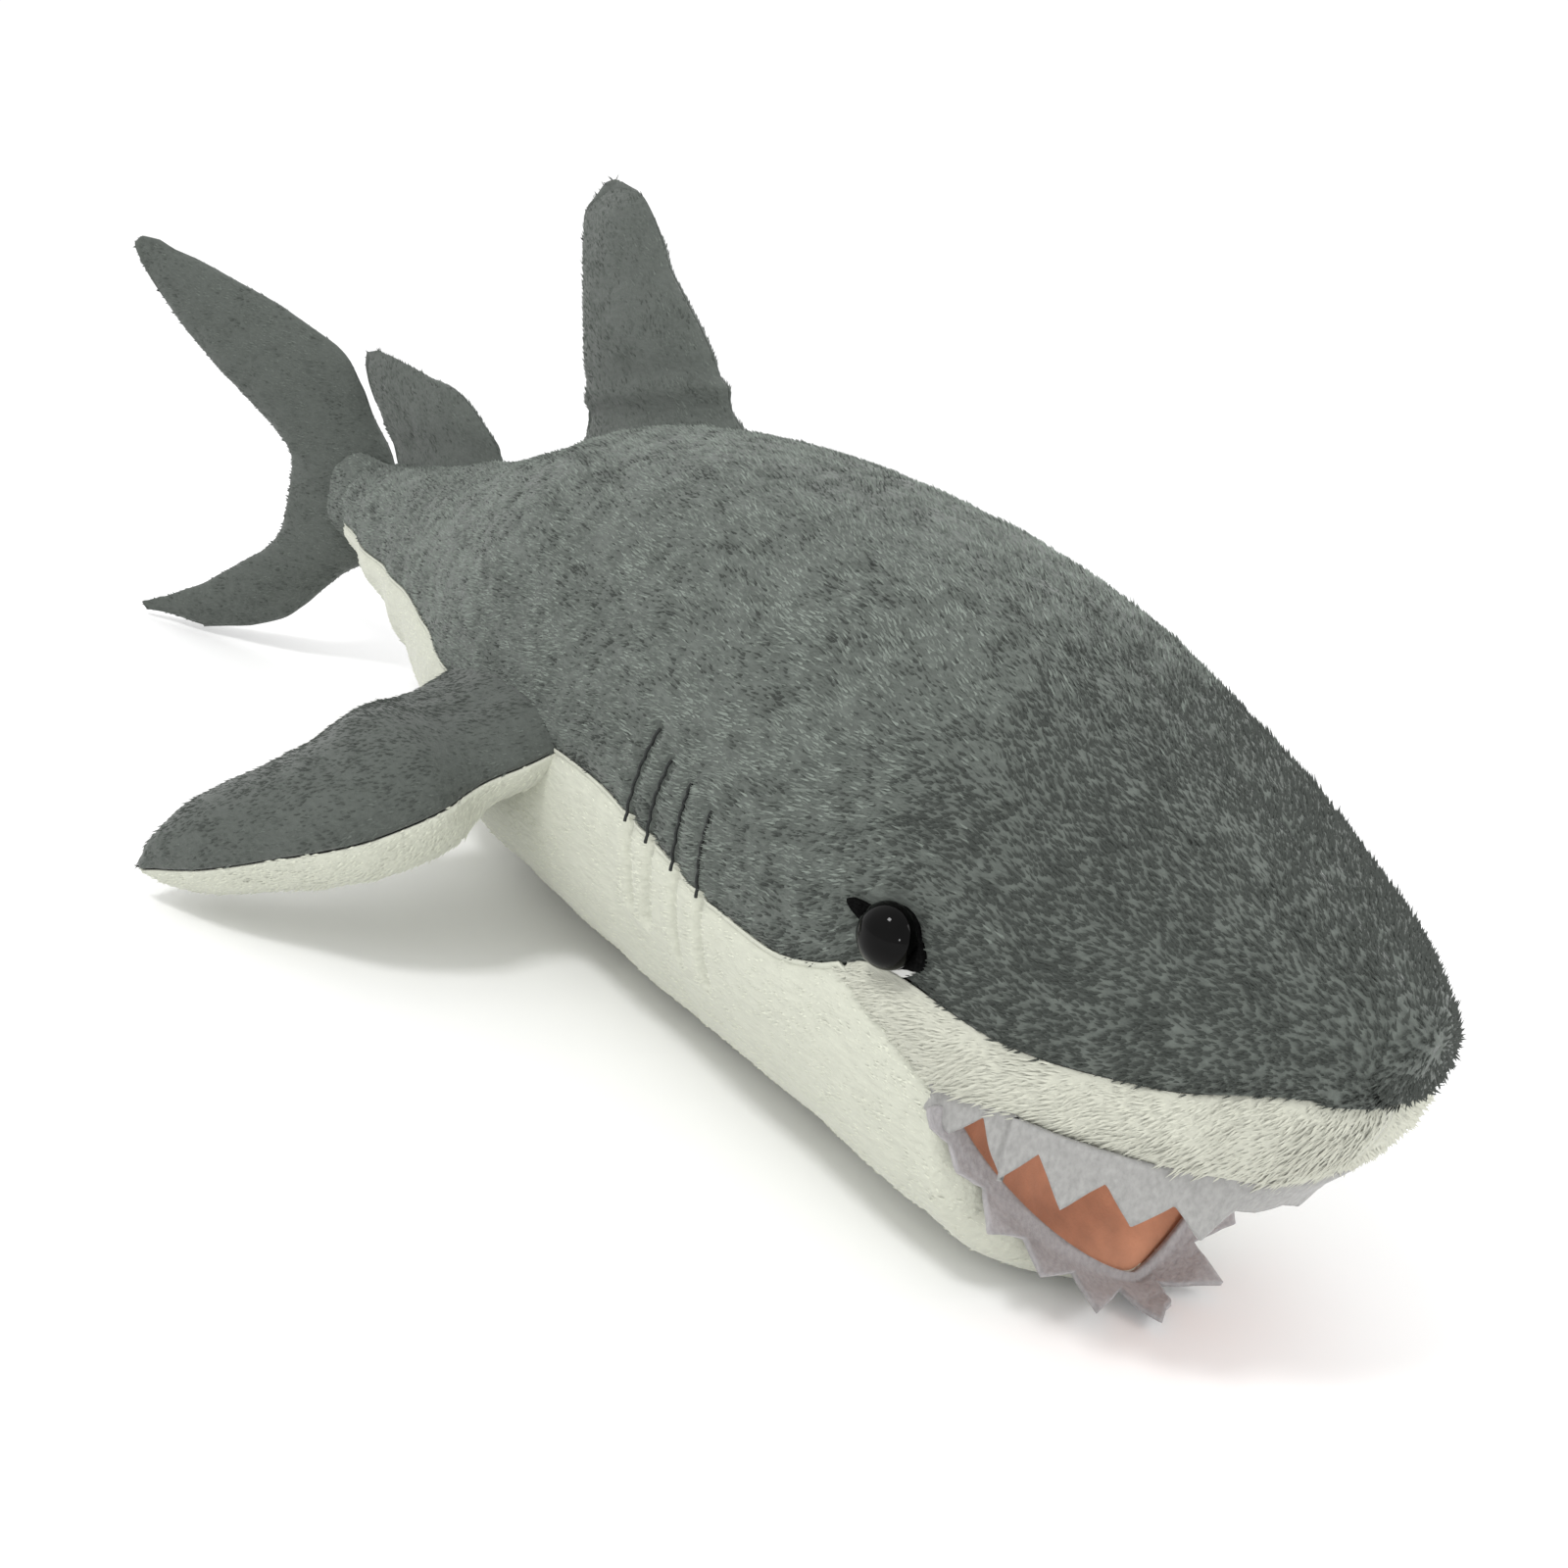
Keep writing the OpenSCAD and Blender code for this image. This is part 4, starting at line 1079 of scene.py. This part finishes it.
PECTORAL = [
    [-24, 37, -38, 15], [-12, 35, -36.5, 14], [-5, 33, -35.5, 15], [0, 33, -35.5, 17], [8, 36, -30, 19.5],
    [20, 34, -25, 18.5], [32, 27.5, -26.5, 17], [44, 15, -32, 15], [54, 3.5, -34, 12.5],
    [62, -8, -31, 9], [66.5, -17.5, -29, 5.5], [69, -24, -27, 0.6],
]
TAIL = [
    [2, 66, 92, 0.5], [5, 50, 95, 3], [12, 34, 82, 5], [20, 24, 69, 6.3], [29, 15.5, 57, 7.2],
    [38, 7, 45, 7.8], [46, -5, 39, 8.2], [56, -8, 37, 8.5], [66, -8, 36.5, 8.5], [76, -8, 38, 8.5],
    [86, -4, 50, 8.2], [96, 4, 66, 7.8], [106, 10.5, 81, 7], [116, 20, 94, 6], [124, 38, 102, 5],
    [131, 62, 108, 3.8], [136, 84, 110, 2.5], [139, 99, 106, 0.5],
]
FIN_PILE = 1.5


def fin_grids(table, step=1.5, cols=44):
    """Both faces of a fin in its own frame: rows by height, columns from the trailing to the leading edge."""
    tab = np.array(table, float)
    heights = np.arange(tab[0, 0], tab[-1, 0], step)
    near = tab[-1, 0] - np.array([3.2, 2.2, 1.4, 0.8, 0.4, 0.15, 0])
    heights = np.concatenate([heights[heights < near[0] - 0.4], near])
    lead, trail, thick = (hermite(tab[:, 0], tab[:, c], heights) for c in (1, 2, 3))
    phi = np.linspace(0, math.pi, cols)
    c = -np.cos(phi)
    x = ((lead + trail) / 2)[:, None] + ((lead - trail) / 2)[:, None] * c
    y = 0.35 + np.maximum(thick, 0.3)[:, None] * np.sqrt(np.maximum(0, 1 - c * c))
    return np.stack([x, y, np.repeat(heights[:, None], cols, 1)], -1)


def fin_frame(origin, x_axis, up):
    x_axis = unit(np.array(x_axis, float))
    up = np.array(up, float)
    up = unit(up - (up @ x_axis) * x_axis)
    return np.array(origin, float), np.stack([x_axis, np.cross(up, x_axis), up])


def make_fin(name, table, place_frame, faces, joint, start, end, nodes, seed,
             lay_mix=(-0.55, 0.85), folds=None, dark=0.0):
    """Both faces of a fin, each as (label, sign of its side, cloth, pile materials, slot). start and end are
    not used; lay_mix is the pile's lie; dark is the shade of its middle."""
    origin, axes = place_frame
    child = JOINTS[joint]["child"]
    local = fin_grids(table)
    coarse = fin_grids(table, step=4.5, cols=15)
    coarse = coarse[coarse[:, 0, 2] < table[-1][0] - 1.2]
    around = np.concatenate([coarse, (coarse * [1, -1, 1])[:, -2:0:-1]], 1)
    edge_col = np.isin(np.arange(around.shape[1]), (0, 14))
    puffs = puffed(around, edge_col[None] | (around[..., 2] < -1), 2.5, seed)
    puffs = {1: puffs[:, :15], -1: puffs[:, [0] + list(range(27, 13, -1))]}
    low_z, high_z = coarse[0, 0, 2], coarse[-1, 0, 2]
    for label, sign, cloth_mat, pile_mats, slot_name in faces:
        g = local.copy()
        normal = grid_normals(g, np.zeros_like(g) + [0, 1, 0])
        edge = np.minimum(from_edge(g), from_edge(g, last=True))
        flatness = np.abs(normal[..., 1])
        amount = -0.8 - (FIN_PILE - 0.8) * flatness + 0.45 * noise(g, 16, seed) + 0.3 * noise(g, 8, seed + 1)
        amount = amount - 0.2 * np.exp(-((edge / 2.5) ** 2))
        across_v = np.linspace(0, 1, g.shape[1])[None] + 0 * g[..., 0]
        amount = amount + read_at(puffs[sign], (g[..., 2] - low_z) / (high_z - low_z), across_v)
        if folds is not None:
            amount = amount + folds(g)
        amount = amount * smoothstep(0, 2.5, g[-1, 0, 2] - g[..., 2] + 0.4)
        g = g + normal * amount[..., None]
        g[..., 1] = np.maximum(g[..., 1], 0.12)
        g = g * [1, sign, 1]
        world_grid = origin + g @ axes
        world_grid[..., 2] = np.maximum(world_grid[..., 2], 1.2)
        normal = grid_normals(world_grid, np.zeros_like(g) + sign * axes[1])
        ends = (origin + np.array(point) @ axes for point in (start, end))
        place = blends("body", child, *ends, slot_name)
        o = finished(shell(f"{name}_{label}_cloth", world_grid, normal, THIN_CLOTH), cloth_mat, place,
                     *nodes[label])
        lay = unit(np.zeros_like(g) + lay_mix[0] * axes[0] + lay_mix[1] * axes[2])
        keep = smoothstep(0.2, 1.6, g[-1, 0, 2] - g[..., 2]) * smoothstep(0.2, 1.4, edge)
        shade = 0.10 * noise(world_grid, 14, seed + 4) + 0.06 * noise(world_grid, 30, seed + 6)
        shade = shade - dark * edge / edge.max()
        pile(f"{name}_{label}_pile", world_grid, normal, lay, 2.2, 0.58, 1.1, pile_mats, place, seed + 10,
             lean=20, keep=keep, shade=shade)


grey = (fin_cloth, fin_pile, "grey_plush")
cream = (cream_cloth, cream_pile, "cream_plush")


def joint_origin(name):
    return np.array(JOINTS[name]["pos_m"]) / MM


def root_folds(g):
    """Small folds across the dorsal fin, where it bends at its root."""
    return 1.2 * np.sin((g[..., 2] + 3 + 0.06 * g[..., 0]) / 2.1) * np.exp(-(((g[..., 2] + 1) / 6) ** 2))


make_fin("dorsal", DORSAL, fin_frame(joint_origin("dorsal_flop"), JOINTS["dorsal_flop"]["axis"], (0, 0, 1)),
         [("right", -1, *grey), ("left", 1, *grey)], "dorsal_flop", (0, 0, -9), (0, 0, 7),
         {"right": ["dorsal_face_right", "dorsal_stuffing"], "left": ["dorsal_face_left"]}, 200,
         folds=root_folds)
lean = math.radians(8)
axis = np.array(JOINTS["second_dorsal_flop"]["axis"], float)
upright = unit(np.cross(axis, [0, 1, 0]))
upright = math.cos(lean) * upright + math.sin(lean) * np.array([0, -1.0, 0])
make_fin("second_dorsal", SECOND, fin_frame(joint_origin("second_dorsal_flop"), axis, upright),
         [("right", -1, *grey), ("left", 1, *grey)], "second_dorsal_flop", (0, 0, -6), (0, 0, 5),
         {"right": ["second_dorsal_face_right", "second_dorsal_stuffing"],
          "left": ["second_dorsal_face_left"]}, 230)
droop, pitch = math.radians(27.1), math.radians(10)
for side, hand in ((-1, "right"), (1, "left")):
    out = (0, side * math.cos(droop), -math.sin(droop))
    lead = (math.cos(pitch), side * math.sin(pitch) * math.sin(droop), math.sin(pitch) * math.cos(droop))
    place_frame = fin_frame(joint_origin(f"pectoral_{hand}_flap"), lead, out)
    up_sign = 1 if place_frame[1][1][2] > 0 else -1
    make_fin(f"pectoral_{hand}", PECTORAL, place_frame,
             [("top", up_sign, *grey), ("underside", -up_sign, *cream)],
             f"pectoral_{hand}_flap", (0, 0, -14), (0, 0, 8),
             {"top": [f"pectoral_top_{hand}", f"pectoral_stuffing_{hand}"],
              "underside": [f"pectoral_underside_{hand}"]}, 260 + side, dark=0.5)
hinge = joint_origin("tail_fin_sway")
yaw = math.radians(36)
behind = np.array([-math.cos(yaw), -math.sin(yaw), 0])
make_fin("tail_fin", TAIL, fin_frame((hinge[0], hinge[1], 0), behind, (0, 0, 1)),
         [("right", 1, *grey), ("left", -1, *grey)], "tail_fin_sway", (-8, 0, 66), (14, 0, 66),
         {"right": ["tail_fin_face_right", "tail_fin_stuffing"], "left": ["tail_fin_face_left"]}, 290,
         lay_mix=(0.8, 0.0))

# A short sleeve of the same plush joins the end of the stem to the root of the tail fin.
turn = np.linspace(-math.pi, math.pi, 49)
SLEEVE_S, HINGE_Z = 426, 66
width, middle, height = (float(v) for v in body_size(np.array(float(SLEEVE_S))))
front = np.stack([
    NOSE_X - SLEEVE_S + 0 * turn, (width - 3.2) * np.cos(turn), middle + (height - 3.2) * np.sin(turn)], -1)
sideways = np.array([-behind[1], behind[0], 0])
rear = hinge * [1, 1, 0] + 17 * behind + np.stack(
    [0 * turn, 0 * turn, HINGE_Z + 17 * np.sin(turn)], -1) - 6.0 * np.cos(turn)[:, None] * sideways
u = np.linspace(0, 1, 18)[:, None, None]
grid = front * (1 - u) + rear * u
centre = grid.mean(1, keepdims=True)
grid = centre + (grid - centre) * (1 + 0.10 * np.sin(np.pi * u) + 0.03 * np.cos(7 * turn)[None, :, None])
normal = grid_normals(grid, grid - centre)
place = blends("body", "tail_fin", hinge - 8 * behind, hinge + 14 * behind, "grey_plush")
finished(shell("tail_sleeve_cloth", grid, normal, THIN_CLOTH), grey_cloth, place)
pile("tail_sleeve_pile", grid, normal, np.zeros_like(grid) + behind, 2.0, 0.5, 0.95, grey_pile, place, 160)

# ---------------------------------------------------------------- floor, world and lights
floor = bpy.data.meshes.new("floor")
floor.from_pydata([(-6, -6, 0), (6, -6, 0), (6, 6, 0), (-6, 6, 0)], [], [(0, 1, 2, 3)])
floor = bpy.data.objects.new("floor", floor)
scene.collection.objects.link(floor)
m, tree, b = new_material("floor_paper", 0.9)
mottle(tree, b, noise_node(tree, 60), (0.955, 0.955, 0.955), (0.965, 0.965, 0.965))
floor.data.materials.append(m)

world = bpy.data.worlds.new("studio")
scene.world = world
world.use_nodes = True
sky = world.node_tree.nodes["Background"]
sky.inputs["Color"].default_value = (1.0, 1.0, 1.0, 1)
sky.inputs["Strength"].default_value = 1.06


def area_light(name, at, towards, size, power):
    light = bpy.data.lights.new(name, "AREA")
    light.shape = "SQUARE"
    light.size = size
    light.energy = power
    o = bpy.data.objects.new(name, light)
    o.location = at
    o.rotation_euler = (Vector(towards) - Vector(at)).to_track_quat("-Z", "Y").to_euler()
    scene.collection.objects.link(o)


area_light("key", (0.2, -0.9, 1.5), (0.05, 0, 0.05), 0.28, 9)
area_light("fill", (1.2, 0.8, 1.1), (0.1, 0, 0.05), 0.6, 5)
# A small low light that shows as a second bright point in the eye.
area_light("catch", (1.25, -0.47, 0.26), (0.18, -0.05, 0.07), 0.11, 1.1)
